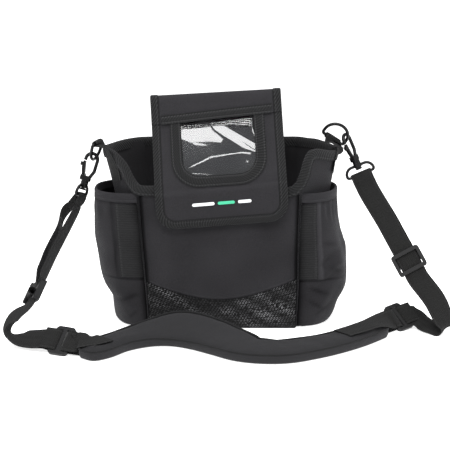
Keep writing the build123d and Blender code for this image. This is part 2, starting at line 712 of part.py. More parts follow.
def web_end():
    """Local to the slider: end of the webbing folded round its middle bar."""
    fold = block(-WEB_HALF, WEB_HALF, -4.0, 4.0, -6.0, -2.45)
    fold = fold - block(-13, 13, -2.45, 2.45, -4.75, -2.3)
    return solid_of(fold - block(-13, 13, -5, 5, -2.5, 0))


def build_webbing(tag, side):
    stations = standing_strand(side)
    eye, leave, down, slider_at = side.eye, side.leave, side.down, side.slider_at
    bar = side.eye_bar
    if np.dot(bar, stations[0][1]) < 0:
        bar = -bar
    front_dir = unit(np.cross(bar, leave))
    if np.dot(front_dir, stations[0][2]) < 0:
        front_dir = -front_dir

    # half turn over the eye's bar, then the standing strand from the bar's front side
    full = []
    for angle in np.linspace(math.pi, 0, 8):
        spoke = front_dir * math.cos(angle) - leave * math.sin(angle)
        full.append((eye + spoke * TURN_R, bar, spoke, WEB_HALF))
    start = eye + leave * 8.0 + front_dir * (TURN_R - WEB_T / 2)
    full += [(start, bar, front_dir, WEB_HALF)] + stations[1:]
    wrap = place(bar_wrap().mirror(Plane.XZ), side.loop_at, side.loop_bar, side.loop_normal)
    out("webbing_" + tag, solid_of(ribbon(full, -WEB_T / 2, WEB_T / 2) + wrap))

    # returning strand, behind the standing one, ends at the slider
    length = float(np.dot(slider_at - eye, down))
    back = [(eye + leave * 0.4 - front_dir * TURN_R, bar, front_dir, WEB_HALF)]
    for centre, width, normal, half in stations[1:]:
        distance = float(np.dot(centre - eye, down))
        share = distance / length
        if distance > length - 12:
            break
        gap = 2.2 + side.bulge * math.sin(math.pi * min(max(share, 0), 1))
        if share < 0.2:
            gap = max(gap, TURN_R + 1.2)
        back.append((centre - normal * gap, width, normal, half))
    nearest = min(stations, key=lambda s: np.linalg.norm(s[0] - slider_at))
    _, width, normal, _ = nearest
    back.append((slider_at - down * 4.6 - normal * 3.6, width, normal, WEB_HALF))
    out("webbing_return_" + tag, ribbon(back, -WEB_T / 2, WEB_T / 2))

    # slider, its local y up the strap
    across = width if np.dot(np.cross(normal, width), -down) > 0 else -width
    across = square_to(across, down)
    facing = np.cross(across, -down)
    out("slider_" + tag, place(slider(), slider_at, across, facing))
    out("webbing_end_" + tag, place(web_end(), slider_at, across, facing))


# the pad's six end stations on each side, from its end inward
PAD_ENDS = {"l": pad[:6], "r": pad[:-7:-1]}
for tag, side in SIDES.items():
    build_hardware(tag, side)
    build_pad_end(tag, side, PAD_ENDS[tag])
    build_webbing(tag, side)

for name, shape in made.items():
    export_step(shape, f"parts/{name}.step")
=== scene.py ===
"""Small cloth bag with a tall folded flap, two side pockets and a padded shoulder strap.

The bag stands on the floor at z = 0. X runs across it ("l" is -X, "r" is +X), its front faces
-Y and Z is up. The flap is hinged at the back, rises to a fold and hangs down in front; the strap
falls from rings on both sides to its pad on the floor in front. Shapes are worked out in mm.
"""

import bpy
import math
import json
import numpy as np
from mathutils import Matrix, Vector

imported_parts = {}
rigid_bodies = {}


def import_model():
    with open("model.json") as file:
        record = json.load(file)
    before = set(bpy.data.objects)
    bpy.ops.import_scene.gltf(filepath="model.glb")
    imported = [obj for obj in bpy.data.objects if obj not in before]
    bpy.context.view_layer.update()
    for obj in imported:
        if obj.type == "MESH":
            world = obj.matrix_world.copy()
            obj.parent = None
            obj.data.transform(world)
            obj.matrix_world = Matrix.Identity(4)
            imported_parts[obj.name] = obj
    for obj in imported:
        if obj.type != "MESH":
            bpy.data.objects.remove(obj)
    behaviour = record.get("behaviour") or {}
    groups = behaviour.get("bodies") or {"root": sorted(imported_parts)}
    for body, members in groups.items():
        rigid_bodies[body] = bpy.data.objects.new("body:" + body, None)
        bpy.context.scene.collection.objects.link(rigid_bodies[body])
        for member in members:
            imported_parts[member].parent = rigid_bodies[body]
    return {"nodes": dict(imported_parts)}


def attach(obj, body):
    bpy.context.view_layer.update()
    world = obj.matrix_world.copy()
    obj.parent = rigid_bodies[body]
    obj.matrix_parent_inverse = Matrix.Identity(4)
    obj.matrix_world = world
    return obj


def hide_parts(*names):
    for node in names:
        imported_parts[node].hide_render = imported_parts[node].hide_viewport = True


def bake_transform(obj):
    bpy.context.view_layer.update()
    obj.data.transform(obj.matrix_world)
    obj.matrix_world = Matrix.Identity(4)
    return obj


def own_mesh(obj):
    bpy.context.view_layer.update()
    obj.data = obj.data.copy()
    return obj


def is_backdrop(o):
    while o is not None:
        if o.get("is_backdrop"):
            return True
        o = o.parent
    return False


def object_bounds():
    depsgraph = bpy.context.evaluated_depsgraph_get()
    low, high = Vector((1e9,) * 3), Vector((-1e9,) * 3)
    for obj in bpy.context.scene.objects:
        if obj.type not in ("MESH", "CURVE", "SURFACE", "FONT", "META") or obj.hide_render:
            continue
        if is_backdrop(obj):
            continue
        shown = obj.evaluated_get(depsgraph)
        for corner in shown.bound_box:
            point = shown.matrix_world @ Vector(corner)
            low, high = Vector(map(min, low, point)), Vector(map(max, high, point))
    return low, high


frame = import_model()
CAD_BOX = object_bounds()
rng = np.random.default_rng(7)
MM = 0.001
SIDES = (("l", -1), ("r", 1))


# ------------------------------------------------------------------ vectors and curves
def vec(*parts):
    return np.array(parts, float)


def unit(v):
    v = np.asarray(v, float)
    return v / np.maximum(np.linalg.norm(v, axis=-1, keepdims=True), 1e-9)


def perp(a, b):
    """Unit vector of the part of a that is square to b."""
    return unit(a - np.sum(a * b, -1, keepdims=True) * b)


def facing(v, toward):
    return v if np.dot(v, toward) > 0 else -v


def points(x, y, z):
    return np.stack(np.broadcast_arrays(x, y, z), -1)


def column(first, last, count):
    """Even steps laid along a grid's first direction."""
    return np.linspace(first, last, count)[:, None]


def catmull(knots, per):
    """Catmull-Rom curve through the knots, with per steps between each two."""
    p = np.array(knots, float)
    p = np.vstack([2 * p[0] - p[1], p, 2 * p[-1] - p[-2]])
    t = column(0, per - 1, per) / per
    spans = []
    for i in range(1, len(p) - 2):
        before, start, end, after = p[i - 1 : i + 3]
        bend = 2 * before - 5 * start + 4 * end - after
        twist = 3 * start - before - 3 * end + after
        spans.append(0.5 * (2 * start + (end - before) * t + bend * t * t + twist * t**3))
    return np.concatenate(spans + [p[-2:-1]])


def path_length(path):
    """Distance travelled at each point of a path."""
    steps = np.linalg.norm(np.diff(path, axis=0), axis=1)
    return np.concatenate([[0], np.cumsum(steps)])


def tangents(path):
    padded = np.concatenate([path[:1], path, path[-1:]])
    return unit(padded[2:] - padded[:-2])


def smooth(low, high, x):
    """Smooth rise from 0 at low to 1 at high."""
    t = np.clip((np.asarray(x, float) - low) / (high - low), 0, 1)
    return t * t * (3 - 2 * t)


def fade(low, high, x):
    return 1 - smooth(low, high, x)


def bell(x, centre, width):
    return np.exp(-(((x - centre) / width) ** 2))


def table_fn(rows):
    """Smooth one-variable function through rows (x, value)."""
    curve = catmull(rows, 8)
    return lambda x: np.interp(x, curve[:, 0], curve[:, 1])


WAVES = [(rng.normal(size=3), rng.uniform(0, 6.28)) for _ in range(40)]


def noise(grid, size, seed):
    """Smooth random value from about -1 to 1 with features of that size in mm."""
    total = np.zeros(grid.shape[:-1])
    for k in range(10):
        direction, phase = WAVES[(seed * 7 + k) % 40]
        total += np.sin(grid @ (unit(direction) * (6.283 / size) * (0.7 + 0.06 * k)) + phase)
    return total / 4.5


def crease(x, z, start, end, width, depth):
    """A soft ridge along a segment that fades to nothing at both ends."""
    span = vec(*end) - start
    length = np.linalg.norm(span)
    dx, dz = span / length
    from_x, from_z = x - start[0], z - start[1]
    along = np.clip(from_x * dx + from_z * dz, 0, length)
    away = np.hypot(from_x - along * dx, from_z - along * dz)
    ends = np.sin(np.pi * np.clip(along / length, 0.02, 0.98)) ** 0.5
    return depth * bell(away, 0, width) * ends


def creases(x, z, rows):
    return sum(crease(x, z, *row) for row in rows)


# ------------------------------------------------------------------ material tools
def find_node(tree, kind):
    return next(n for n in tree.nodes if n.type == kind)


class Graph:
    """A material under construction. Values are numbers, tuples or sockets."""

    def __init__(self, name):
        self.material = bpy.data.materials.new(name)
        self.material.use_nodes = True
        self.tree = self.material.node_tree
        self.shader = find_node(self.tree, "BSDF_PRINCIPLED")

    def node(self, kind, **settings):
        node = self.tree.nodes.new("ShaderNode" + kind)
        for key, value in settings.items():
            setattr(node, key, value)
        return node

    def put(self, socket, value):
        if isinstance(value, bpy.types.NodeSocket):
            self.tree.links.new(value, socket)
        else:
            socket.default_value = value

    def uv(self):
        """U and V in mm."""
        split = self.node("SeparateXYZ")
        self.put(split.inputs[0], self.node("UVMap").outputs[0])
        return split.outputs[0], split.outputs[1]

    def calc(self, operation, a, b=0.0, c=0.0):
        node = self.node("Math", operation=operation)
        for socket, value in zip(node.inputs, (a, b, c)):
            self.put(socket, value)
        return node.outputs[0]

    def add(self, a, b):
        return self.calc("ADD", a, b)

    def sub(self, a, b):
        return self.calc("SUBTRACT", a, b)

    def mul(self, a, b):
        return self.calc("MULTIPLY", a, b)

    def div(self, a, b):
        return self.calc("DIVIDE", a, b)

    def madd(self, a, factor, offset):
        return self.calc("MULTIPLY_ADD", a, factor, offset)

    def invert(self, x):
        return self.sub(1.0, x)

    def vary(self, grain, amount):
        """A noise turned into a factor around 1."""
        return self.madd(self.sub(grain, 0.5), amount, 1.0)

    def wave(self, x, period):
        """-1 to 1 along x."""
        return self.calc("SINE", self.mul(x, 6.28318 / period))

    def noise(self, scale, detail=3.0, rough=0.6):
        node = self.node("TexNoise")
        node.inputs["Scale"].default_value = scale
        node.inputs["Detail"].default_value = detail
        node.inputs["Roughness"].default_value = rough
        self.put(node.inputs["Vector"], self.node("TexCoord").outputs["Object"])
        return node.outputs[0]

    def attr(self, name):
        return self.node("Attribute", attribute_name=name).outputs["Fac"]

    def step(self, x, low, high):
        node = self.node("MapRange", interpolation_type="SMOOTHSTEP")
        self.put(node.inputs["Value"], x)
        node.inputs["From Min"].default_value = low
        node.inputs["From Max"].default_value = high
        return node.outputs["Result"]

    def band(self, x, centre, half):
        """1 inside a line of that half width."""
        away = self.calc("ABSOLUTE", self.sub(x, centre))
        return self.invert(self.step(away, half * 0.6, half * 1.4))

    def mix(self, factor, a, b, colour=False):
        node = self.node("Mix", data_type="RGBA" if colour else "FLOAT")
        first = 6 if colour else 2
        self.put(node.inputs[0], factor)
        self.put(node.inputs[first], a)
        self.put(node.inputs[first + 1], b)
        return node.outputs[2 if colour else 0]

    def tint(self, rgb, value):
        node = self.node("VectorMath", operation="SCALE")
        self.put(node.inputs[0], rgb)
        self.put(node.inputs["Scale"], value)
        return node.outputs[0]

    def end(self, colour, height=None, bump=0.4, rough=0.85, sheen=0.06, strength=0.6, spec=0.22):
        """Wire up the shader; bump is the height's depth in mm."""
        inputs = self.shader.inputs
        self.put(inputs["Base Color"], colour)
        self.put(inputs["Roughness"], rough)
        self.put(inputs["Specular IOR Level"], spec)
        inputs["Sheen Weight"].default_value = sheen
        inputs["Sheen Roughness"].default_value = 0.5
        inputs["Sheen Tint"].default_value = (0.8, 0.8, 0.85, 1)
        if height is not None:
            node = self.node("Bump")
            node.inputs["Strength"].default_value = strength
            node.inputs["Distance"].default_value = bump * MM
            self.put(node.inputs["Height"], height)
            self.put(inputs["Normal"], node.outputs[0])
        return self.material


# ------------------------------------------------------------------ materials
DARK = (0.0133, 0.0127, 0.0145)
TAPE = (0.0068, 0.0069, 0.0072)
TAPE_WIDTH = 8.6  # woven edge tape of the flap


def textile(g, kind, period, u, v):
    """Height of a textile surface, 0 to 1."""
    if kind == "weave":
        raw = g.mul(g.wave(u, period), g.wave(v, period))
    elif kind == "twill":
        raw = g.wave(g.add(u, g.mul(v, 0.8)), period)
    elif kind == "ribs":
        raw = g.wave(v, period)
    else:  # chevrons 8 mm wide
        turned = g.sub(g.calc("MODULO", g.add(u, 1000.0), 8.0), 4.0)
        raw = g.wave(g.add(v, g.calc("ABSOLUTE", turned)), period)
    return g.madd(raw, 0.5, 0.5)


def cloth(name, kind, period, rgb=DARK, relief=0.30, bump=0.35, grain=0.60, sheen=0.05,
          wear=0.2, tape=None, stitch=None):
    """Textile, darkened by the "shade" attribute.

    relief, grain and wear set how far the threads, fine noise and broad noise change the colour.
    tape and stitch are laid by the "edge" attribute, the distance in mm from the cloth's edge.
    """
    g = Graph(name)
    u, v = g.uv()
    height = textile(g, kind, period, u, v)
    level = g.madd(height, relief, 1.0 - relief / 2)
    fine = g.noise(900.0, detail=2.0, rough=0.7)
    broad = g.noise(22.0, detail=4.0, rough=0.6)
    level = g.mul(level, g.vary(fine, grain * 2))
    level = g.mul(level, g.vary(broad, wear * 2))
    colour = g.tint(rgb, level)
    if tape or stitch:
        edge = g.attr("edge")
    if tape:
        width = tape["width"]
        threads = textile(g, "twill", tape["period"], u, v)
        tape_level = g.mul(g.madd(threads, 1.7, 0.25), g.vary(fine, 1.2))
        on_tape = g.invert(g.step(edge, width - 0.3, width + 0.3))
        colour = g.mix(on_tape, colour, g.tint(tape["rgb"], tape_level), colour=True)
        height = g.mix(on_tape, height, g.madd(threads, 1.6, 1.2))
        # painted shadow: a dark line along the tape's inner edge
        colour = g.tint(colour, g.madd(g.band(edge, width + 0.6, half=0.8), -0.65, 1.0))
    if stitch:
        on_line = g.band(edge, stitch["at"], half=0.55)
        dash = g.step(g.wave(v if stitch["along"] == "v" else u, 3.4), -0.5, 0.0)
        on_line = g.mul(on_line, g.madd(dash, 0.7, 0.3))
        light = g.mul(on_line, stitch["lighten"])
        colour = g.mix(light, colour, (0.30, 0.30, 0.31, 1), colour=True)
        height = g.sub(height, g.mul(g.band(edge, stitch["at"], half=1.1), 1.5))
    # painted shade: the "shade" attribute darkens the colour and dims the specular
    dim = g.madd(g.attr("shade"), -0.88, 1.0)
    return g.end(g.tint(colour, dim), height, bump=bump, rough=0.88, sheen=sheen,
                 spec=g.mul(dim, 0.2))


def net_cloth():
    """Staggered round holes between broken threads, lighter than the holes and brightened further
    by painted sheen.
    """
    g = Graph("vent_net")
    u, v = g.uv()
    pitch_u, pitch_v = 3.5, 2.7
    odd = g.calc("MODULO", g.calc("FLOOR", g.div(v, pitch_v)), 2.0)
    cell_u = g.sub(g.calc("FRACT", g.add(g.div(u, pitch_u), g.mul(odd, 0.5))), 0.5)
    cell_v = g.sub(g.calc("FRACT", g.div(v, pitch_v)), 0.5)
    radius = g.calc("SQRT", g.add(g.mul(cell_u, cell_u), g.mul(cell_v, cell_v)))
    hole = g.invert(g.step(radius, 0.16, 0.30))
    lean = g.mul(cell_u, g.madd(odd, 0.5, -1.05))
    wall = g.calc("ABSOLUTE", g.sub(g.calc("ABSOLUTE", g.add(cell_v, lean)), 0.45))
    broken = g.step(g.noise(330.0, detail=1.0), 0.34, 0.52)
    thread = g.mul(g.invert(g.step(wall, 0.06, 0.17)), broken)
    # the "sheen" attribute holds painted sheen that lightens the threads where light would glint
    sheen = g.attr("sheen")
    base = g.madd(hole, -0.0028, 0.0040)
    bright = g.mul(thread, g.madd(sheen, 0.21, 0.018))
    colour = g.tint((1.0, 1.0, 1.04), g.add(base, bright))
    return g.end(colour, g.invert(hole), bump=0.8, rough=0.75, sheen=0.02, strength=0.7,
                 spec=0.10)


def metal(name, rgb, rough):
    g = Graph(name)
    grain = g.noise(260.0, detail=4.0, rough=0.65)
    worn = g.step(g.noise(60.0, detail=4.0, rough=0.7), 0.58, 0.75)
    base = g.tint(rgb, g.madd(grain, 0.8, 0.6))
    colour = g.mix(worn, base, (0.030, 0.030, 0.032, 1), colour=True)
    g.shader.inputs["Metallic"].default_value = 0.6
    return g.end(colour, grain, bump=0.12, rough=g.madd(grain, 0.25, rough - 0.12), sheen=0.0,
                 strength=0.4, spec=0.3)


def plastic():
    g = Graph("moulded_black")
    grain = g.noise(900.0, detail=2.0)
    colour = g.tint((0.006, 0.006, 0.0064), g.madd(g.noise(40.0), 0.5, 0.75))
    return g.end(colour, grain, bump=0.08, rough=g.madd(grain, 0.2, 0.34), sheen=0.0,
                 strength=0.5)


def clear_film():
    g = Graph("clear_film")
    ripple = g.noise(35.0, rough=0.5)
    g.shader.inputs["Alpha"].default_value = 0.80
    g.shader.inputs["IOR"].default_value = 1.62
    colour = g.tint((0.010, 0.011, 0.013), g.madd(ripple, 0.6, 0.7))
    return g.end(colour, ripple, bump=0.25, rough=g.madd(g.noise(28.0), 0.12, 0.04), sheen=0.0,
                 strength=0.35, spec=0.76)


def grid_scrim():
    """Open square grid, see-through between its threads."""
    g = Graph("grid_scrim")
    gaps = [g.step(g.calc("ABSOLUTE", g.wave(axis, 4.2)), 0.42, 0.55) for axis in g.uv()]
    worn = g.step(g.noise(70.0), 0.35, 0.55)
    alpha = g.mul(g.invert(g.mul(*gaps)), g.madd(worn, 0.6, 0.4))
    g.put(g.shader.inputs["Alpha"], alpha)
    return g.end(g.tint((0.012, 0.012, 0.013), g.madd(worn, 0.5, 0.7)), rough=0.7)


def thread(name, rgb):
    g = Graph(name)
    twist = g.madd(g.wave(g.add(*g.uv()), 0.9), 0.5, 0.5)
    return g.end(g.tint(rgb, g.madd(twist, 0.25, 0.8)), twist, bump=0.3, rough=0.5, sheen=0.2)


def stitches(at, along, lighten):
    return dict(at=at, along=along, lighten=lighten)


MATERIALS = dict(
    shell=cloth("woven_shell", "weave", 1.3, stitch=stitches(at=2.6, along="v", lighten=0.03)),
    flap=cloth("flap_cloth", "weave", 1.3, tape=dict(width=TAPE_WIDTH, rgb=TAPE, period=3.3),
               stitch=stitches(at=7.0, along="v", lighten=0.03)),
    tape=cloth("twill_tape", "twill", 3.3, TAPE, relief=0.8, bump=0.8,
               stitch=stitches(at=1.8, along="u", lighten=0.05)),
    rim=cloth("rim_tape", "twill", 3.6, TAPE, relief=0.8, bump=0.9,
              stitch=stitches(at=2.2, along="u", lighten=0.04)),
    elastic=cloth("ribbed_elastic", "ribs", 2.6, (0.0105, 0.0105, 0.0111), relief=0.45,
                  bump=0.45, grain=0.4, stitch=stitches(at=1.4, along="v", lighten=0.03)),
    web=cloth("strap_webbing", "web", 2.3, (0.0070, 0.0070, 0.0068), relief=0.5, bump=0.6,
              grain=0.7, sheen=0.03, stitch=stitches(at=2.0, along="v", lighten=0.02)),
    pad=cloth("pad_knit", "weave", 0.9, (0.0130, 0.0128, 0.0139), relief=0.12, bump=0.15,
              grain=0.22, wear=0.15, stitch=stitches(at=1.0, along="u", lighten=0.0)),
    piping=cloth("pad_piping", "twill", 2.0, (0.006, 0.006, 0.0063), relief=0.3, bump=0.3),
    lining=cloth("lining", "weave", 1.8, (0.0088, 0.0084, 0.0094), relief=0.2, bump=0.3,
                 wear=0.4),
    patch=cloth("hook_loop_tape", "weave", 1.6, (0.009, 0.009, 0.0095), relief=0.6, bump=0.9,
                grain=0.8),
    board=cloth("base_liner", "weave", 2.2, (0.03, 0.03, 0.031)),
    net=net_cloth(),
    metal=metal("dark_plating", rgb=(0.009, 0.009, 0.0095), rough=0.36),
    steel=metal("bright_spring", rgb=(0.4, 0.4, 0.4), rough=0.25),
    plastic=plastic(),
    film=clear_film(),
    scrim=grid_scrim(),
    white=thread("white_thread", (0.80, 0.81, 0.82)),
    green=thread("green_thread", (0.06, 0.50, 0.28)),
)


# ------------------------------------------------------------------ mesh builders
def grid_normals(grid, closed=False):
    if closed:
        across = np.roll(grid, -1, 0) - np.roll(grid, 1, 0)
    else:
        across = np.gradient(grid, axis=0)
    return unit(np.cross(across, np.gradient(grid, axis=1)))


def sheet(name, grid, thick, mat, keep=None, closed=False, smooth_deg=48, uv=None, **attrs):
    """Closed cloth layer over a grid (rows, columns, 3) in mm.

    thick holds the thickness added along the normals and against them. keep marks the cells to
    build, closed joins the last row to the first, and attrs become point attributes.
    """
    rows, cols, _ = grid.shape
    normals = grid_normals(grid, closed)
    out, back = (np.asarray(t, float)[..., None] for t in thick)
    faces_of_sheet = (grid + normals * out, grid - normals * back)
    verts = np.concatenate([layer.reshape(-1, 3) for layer in faces_of_sheet]) * MM
    count = rows * cols
    cells = rows if closed else rows - 1
    if keep is None:
        keep = np.ones((cells, cols - 1), bool)

    def gone(a, b):
        if closed:
            a %= cells
        return a < 0 or b < 0 or a >= cells or b >= cols - 1 or not keep[a, b]

    faces = []
    # neighbouring cell, and the two corners of the edge shared with it
    edges = ((-1, 0, 0, 3), (1, 0, 2, 1), (0, -1, 1, 0), (0, 1, 3, 2))
    for a in range(cells):
        for b in range(cols - 1):
            if not keep[a, b]:
                continue
            here, beyond = a * cols + b, (a + 1) % rows * cols + b
            quad = (here, beyond, beyond + 1, here + 1)
            faces.append(quad)
            faces.append(tuple(count + k for k in reversed(quad)))
            for step_a, step_b, i, j in edges:
                if gone(a + step_a, b + step_b):
                    faces.append((quad[i], quad[j], count + quad[j], count + quad[i]))
    used, corners = np.unique(np.array(faces), return_inverse=True)
    corners = corners.reshape(-1, 4)
    mesh = bpy.data.meshes.new(name)
    mesh.from_pydata(verts[used].tolist(), [], corners.tolist())
    if uv is None:
        uv = path_length(grid[:, cols // 2])[:, None], path_length(grid[rows // 2])
    uvs = np.stack(np.broadcast_arrays(*uv), -1).reshape(-1, 2)
    uvs = np.concatenate([uvs, uvs])[used]
    layer = mesh.uv_layers.new(name="UVMap")
    layer.data.foreach_set("uv", uvs[corners.ravel()].astype(np.float32).ravel())
    for key, value in attrs.items():
        value = np.broadcast_to(np.asarray(value, float), (rows, cols)).reshape(-1)
        value = np.concatenate([value, value])[used]
        attribute = mesh.attributes.new(key, "FLOAT", "POINT")
        attribute.data.foreach_set("value", value.astype(np.float32))
    mesh.materials.append(MATERIALS[mat])
    mesh.validate()
    mesh.shade_smooth()
    mesh.set_sharp_from_angle(angle=math.radians(smooth_deg))
    ob = bpy.data.objects.new(name, mesh)
    bpy.context.collection.objects.link(ob)
    return ob


def path_frame(centres, widths):
    """Unit width directions and normals along a path."""
    along = tangents(np.asarray(centres))
    across = perp(np.asarray(widths, float), along)
    return across, unit(np.cross(along, across))


def webbing(name, centres, widths, half, thick, cols):
    """Flat webbing along a path; widths are the directions across it."""
    side = column(-1, 1, cols)
    across, _ = path_frame(centres, widths)
    grid = np.asarray(centres) + across * (side * half)[..., None]
    layer = thick / 2 * np.sqrt(np.clip(1 - np.abs(side) ** 8, 0.10, 1))
    return sheet(name, grid, (layer, layer), "web", edge=(1 - np.abs(side)) * half)


def own(ob, body, slot, *nodes):
    """Let the object ride a body and stand for these CAD nodes."""
    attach(ob, body)
    if nodes:
        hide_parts(*nodes)


def bridge(ob, nodes, start, end):
    """Hide these CAD nodes and bake the object's transform into its mesh. The two points start and
    end are not used.
    """
    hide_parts(*nodes)
    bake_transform(ob)


# ------------------------------------------------------------------ bag walls
HALF_DEPTH = 62.0
FOOT_Z = 1.2
BACK_TOP = 203.0
RIM_HALF = 90.0
SKIN = (0.7, 0.5)
PLAIN_EDGE = 9.0  # edge distance that keeps stitches away

# height of each side's rim: (y, z)
RIM = {
    "l": table_fn([
        (-62.5, 161), (-59, 164), (-55, 168), (-49, 183), (-42, 191.5), (-35, 196.5),
        (-24, 199.5), (0, 199.5), (22, 200), (46, 202.5), (62.5, 203),
    ]),
    "r": table_fn([
        (-62.5, 160.5), (-61.3, 167), (-59.5, 180), (-57, 193), (-53, 200), (-46, 202.0),
        (-36, 200.0), (-26, 197.6), (-12, 196.2), (2, 196.6), (22, 199.5), (46, 202.5),
        (62.5, 203),
    ]),
}
# start (x, z), end (x, z), width, depth
FRONT_CREASES = (
    ((-80, 30), (-40, 95), 9, -1.5), ((82, 60), (30, 120), 12, -1.6),
    ((-70, 135), (-30, 70), 14, 1.0), ((75, 20), (20, 75), 10, 1.2),
)


def corner_x(z):
    """Half width of the bag at its corners."""
    return 84.0 + 9.0 * z / 215.0


def belly_x(z):
    """Half width of the bag in the middle of its depth."""
    return 93.0 + 45.0 * z / 215.0


def front_rim(x):
    return 161.7 - 0.014 * x


def side_x(y, z):
    corner = corner_x(z)
    bow = 1 - np.clip(np.abs(y) / HALF_DEPTH, 0, 1) ** 1.84
    return corner + (belly_x(z) - corner) * bow


def front_y(x, z):
    inside = np.clip(1 - (x / corner_x(z)) ** 2, 0, 1)
    bow = np.interp(z, [0, 40, 110, 165], [1.0, 3.0, 3.2, 2.0]) * inside
    return -HALF_DEPTH - bow + creases(x, z, FRONT_CREASES) * inside**0.5


def vent_top(x):
    """Curved seam between the vent mesh and the front panel."""
    return 34.5 + 21.0 * np.clip(np.abs(x) / 84.0, 0, 1) ** 1.7 + 1.5 * x / 84


side = column(-1, 1, 97)
seam = vent_top(side * 85)

# front panel above the vent seam
z = seam + (front_rim(side * RIM_HALF) - seam) * np.linspace(0, 1, 72)
x = side * corner_x(z)
gap = corner_x(z) - np.abs(x)
grid = points(x, front_y(x, z), z)
# painted shade: darker along the side seams and in a thin line along the vent seam; the noise adds
# broad random painted light and shade for soft creases
shade = 0.95 * bell(gap, 0, 2.4) + 0.40 * np.exp(-gap / 7.0) + 0.65 * bell(z, seam, 1.0)
shade = np.clip(shade + 0.15 * noise(grid, 55, 9), -0.25, 1)
edge = np.minimum(z - seam, (1 - np.abs(side)) * 300 + 5)
ob = sheet("front_skin", grid, SKIN, "shell", edge=edge, shade=shade)
own(ob, "bag", "outer_fabric", "front_panel")

# vent mesh, set back behind the panel's lower edge
z = FOOT_Z + (seam + 2.5 - FOOT_Z) * np.linspace(0, 1, 44)
x = side * corner_x(z)
y = front_y(x, z) + 0.9 + 0.9 * np.sin(x / 9.0 + z / 5.0) * bell(z, 14, 22)
# painted sheen: bright bands and streaks painted onto the mesh threads where light glints on them
painted_sheen = 0.05 + 0.20 * bell(x, -70, 20) * (z > 25)
painted_sheen = painted_sheen + bell(x, 55 + 0.8 * (z - 18), 26) * bell(z, 20, 15)
painted_sheen = painted_sheen + 0.55 * bell(x, 8 + 2.0 * (z - 22), 12)
painted_sheen = painted_sheen + 0.35 * bell(x, -45 - 1.3 * (z - 30), 10)
painted_sheen = np.clip(painted_sheen * (0.55 + 0.45 * np.sin(x / 5.5 + z / 3.2)), 0.02, 1.0)
ob = sheet("vent_skin", points(x, y, z), (0.5, 0.5), "net", sheen=painted_sheen)
own(ob, "bag", "vent_mesh", "vent_mesh")

# back panel
z = FOOT_Z + (BACK_TOP - FOOT_Z) * np.linspace(0, 1, 60)
x = -side * corner_x(z)
y = HALF_DEPTH + 1.6 * (1 - side**2) + crease(x, z, (-60, 40), (10, 120), 14, 1.2)
y = y + crease(x, z, (70, 150), (20, 60), 12, -1.2) * (1 - side**2)
ob = sheet("back_skin", points(x, y, z), SKIN, "shell", edge=PLAIN_EDGE)
own(ob, "bag", "outer_fabric", "back_panel")

# side walls
y = np.concatenate([column(-61.6, -40, 22), column(-38, 61.6, 42)])
for key, sign in SIDES:
    z = FOOT_Z + (RIM[key](y) - FOOT_Z) * np.linspace(0, 1, 60)
    x = side_x(y, z)
    dent = 1.6 * noise(points(x, y, z), 60, 3 + sign) * (1 - (y / HALF_DEPTH) ** 2)
    dent = dent * smooth(0, 50, z) * fade(170, 192, z)
    grid = points(sign * (x + dent), y, z)[::sign]
    # painted shade on the strip of side wall at the front corner, below the rim
    shade = 0.95 * fade(-59.5, -54.5, grid[..., 1]) * fade(150, 160, grid[..., 2])
    ob = sheet("side_skin_" + key, grid, SKIN, "shell", edge=PLAIN_EDGE, shade=shade)
    own(ob, "bag", "outer_fabric", "side_panel_" + key)

# once around the walls from the front's middle, right side first: (wall, x or y)
around = (
    [("front", x) for x in np.linspace(0, RIM_HALF, 16)[:-1]]
    + [("r", y) for y in np.linspace(-HALF_DEPTH, HALF_DEPTH, 48)[:-1]]
    + [("back", x) for x in np.linspace(RIM_HALF, -RIM_HALF, 32)[:-1]]
    + [("l", y) for y in np.linspace(HALF_DEPTH, -HALF_DEPTH, 48)[:-1]]
    + [("front", x) for x in np.linspace(-RIM_HALF, 0, 16)[:-1]]
)


def wall_points(share):
    """Points all around the walls at a share of their height."""
    found = []
    for wall, place in around:
        if wall in RIM:
            z = FOOT_Z + (RIM[wall](place) - FOOT_Z) * share
            found.append(vec((1 if wall == "r" else -1) * side_x(place, z), place, z))
            continue
        top = front_rim(place) if wall == "front" else BACK_TOP
        z = FOOT_Z + (top - FOOT_Z) * share
        x = place * corner_x(z) / RIM_HALF
        back_y = HALF_DEPTH + 1.6 * (1 - (place / RIM_HALF) ** 2)
        found.append(vec(x, front_y(x, z) if wall == "front" else back_y, z))
    return np.array(found)


# lining: one layer inside the walls
grid = np.stack([wall_points(share) for share in np.linspace(0.01, 0.985, 34)], 1)
outward = grid_normals(grid, closed=True)
for _ in range(6):
    outward = outward + np.roll(outward, 1, 0) + np.roll(outward, -1, 0)
grid = grid - unit(outward) * (2.4 + 1.1 * (1 + noise(grid, 45, 1))[..., None])
ob = sheet("lining_skin", grid, (0.6, 0.6), "lining", closed=True)
own(ob, "bag", "lining_fabric", "front_padding", "back_padding", "side_padding")

# rim tape folded over the mouth's edge: (outward, down)
RIM_PROFILE = [
    (2.2, 9.6), (2.3, 7), (2.3, 4), (2.1, 1.2), (1.2, -0.8),
    (-0.8, -1.3), (-3.0, -0.6), (-4.4, 1.4), (-4.6, 4.5), (-4.6, 9.6),
]
top = wall_points(1.0)
for _ in range(2):
    top = (top * 2 + np.roll(top, 1, 0) + np.roll(top, -1, 0)) / 4
slope = unit(wall_points(0.94) - top)
along = unit(np.roll(top, -1, 0) - np.roll(top, 1, 0))
outward = unit(np.cross(along, -slope))
down = np.cross(along, outward)
down = np.where(down[:, 2:3] > 0, -down, down)
wobble = 0.35 * noise(top, 24, 2)[:, None]
grid = np.stack([
    top + outward * (out + wobble * 0.6) + down * (drop + wobble) for out, drop in RIM_PROFILE
], 1)
tape_across = path_length(RIM_PROFILE)
ob = sheet("rim_tape", grid, (0.5, 0.3), "rim", closed=True,
           uv=(path_length(top)[:, None], tape_across), edge=tape_across)
own(ob, "bag", "binding_tape", "rim_binding")

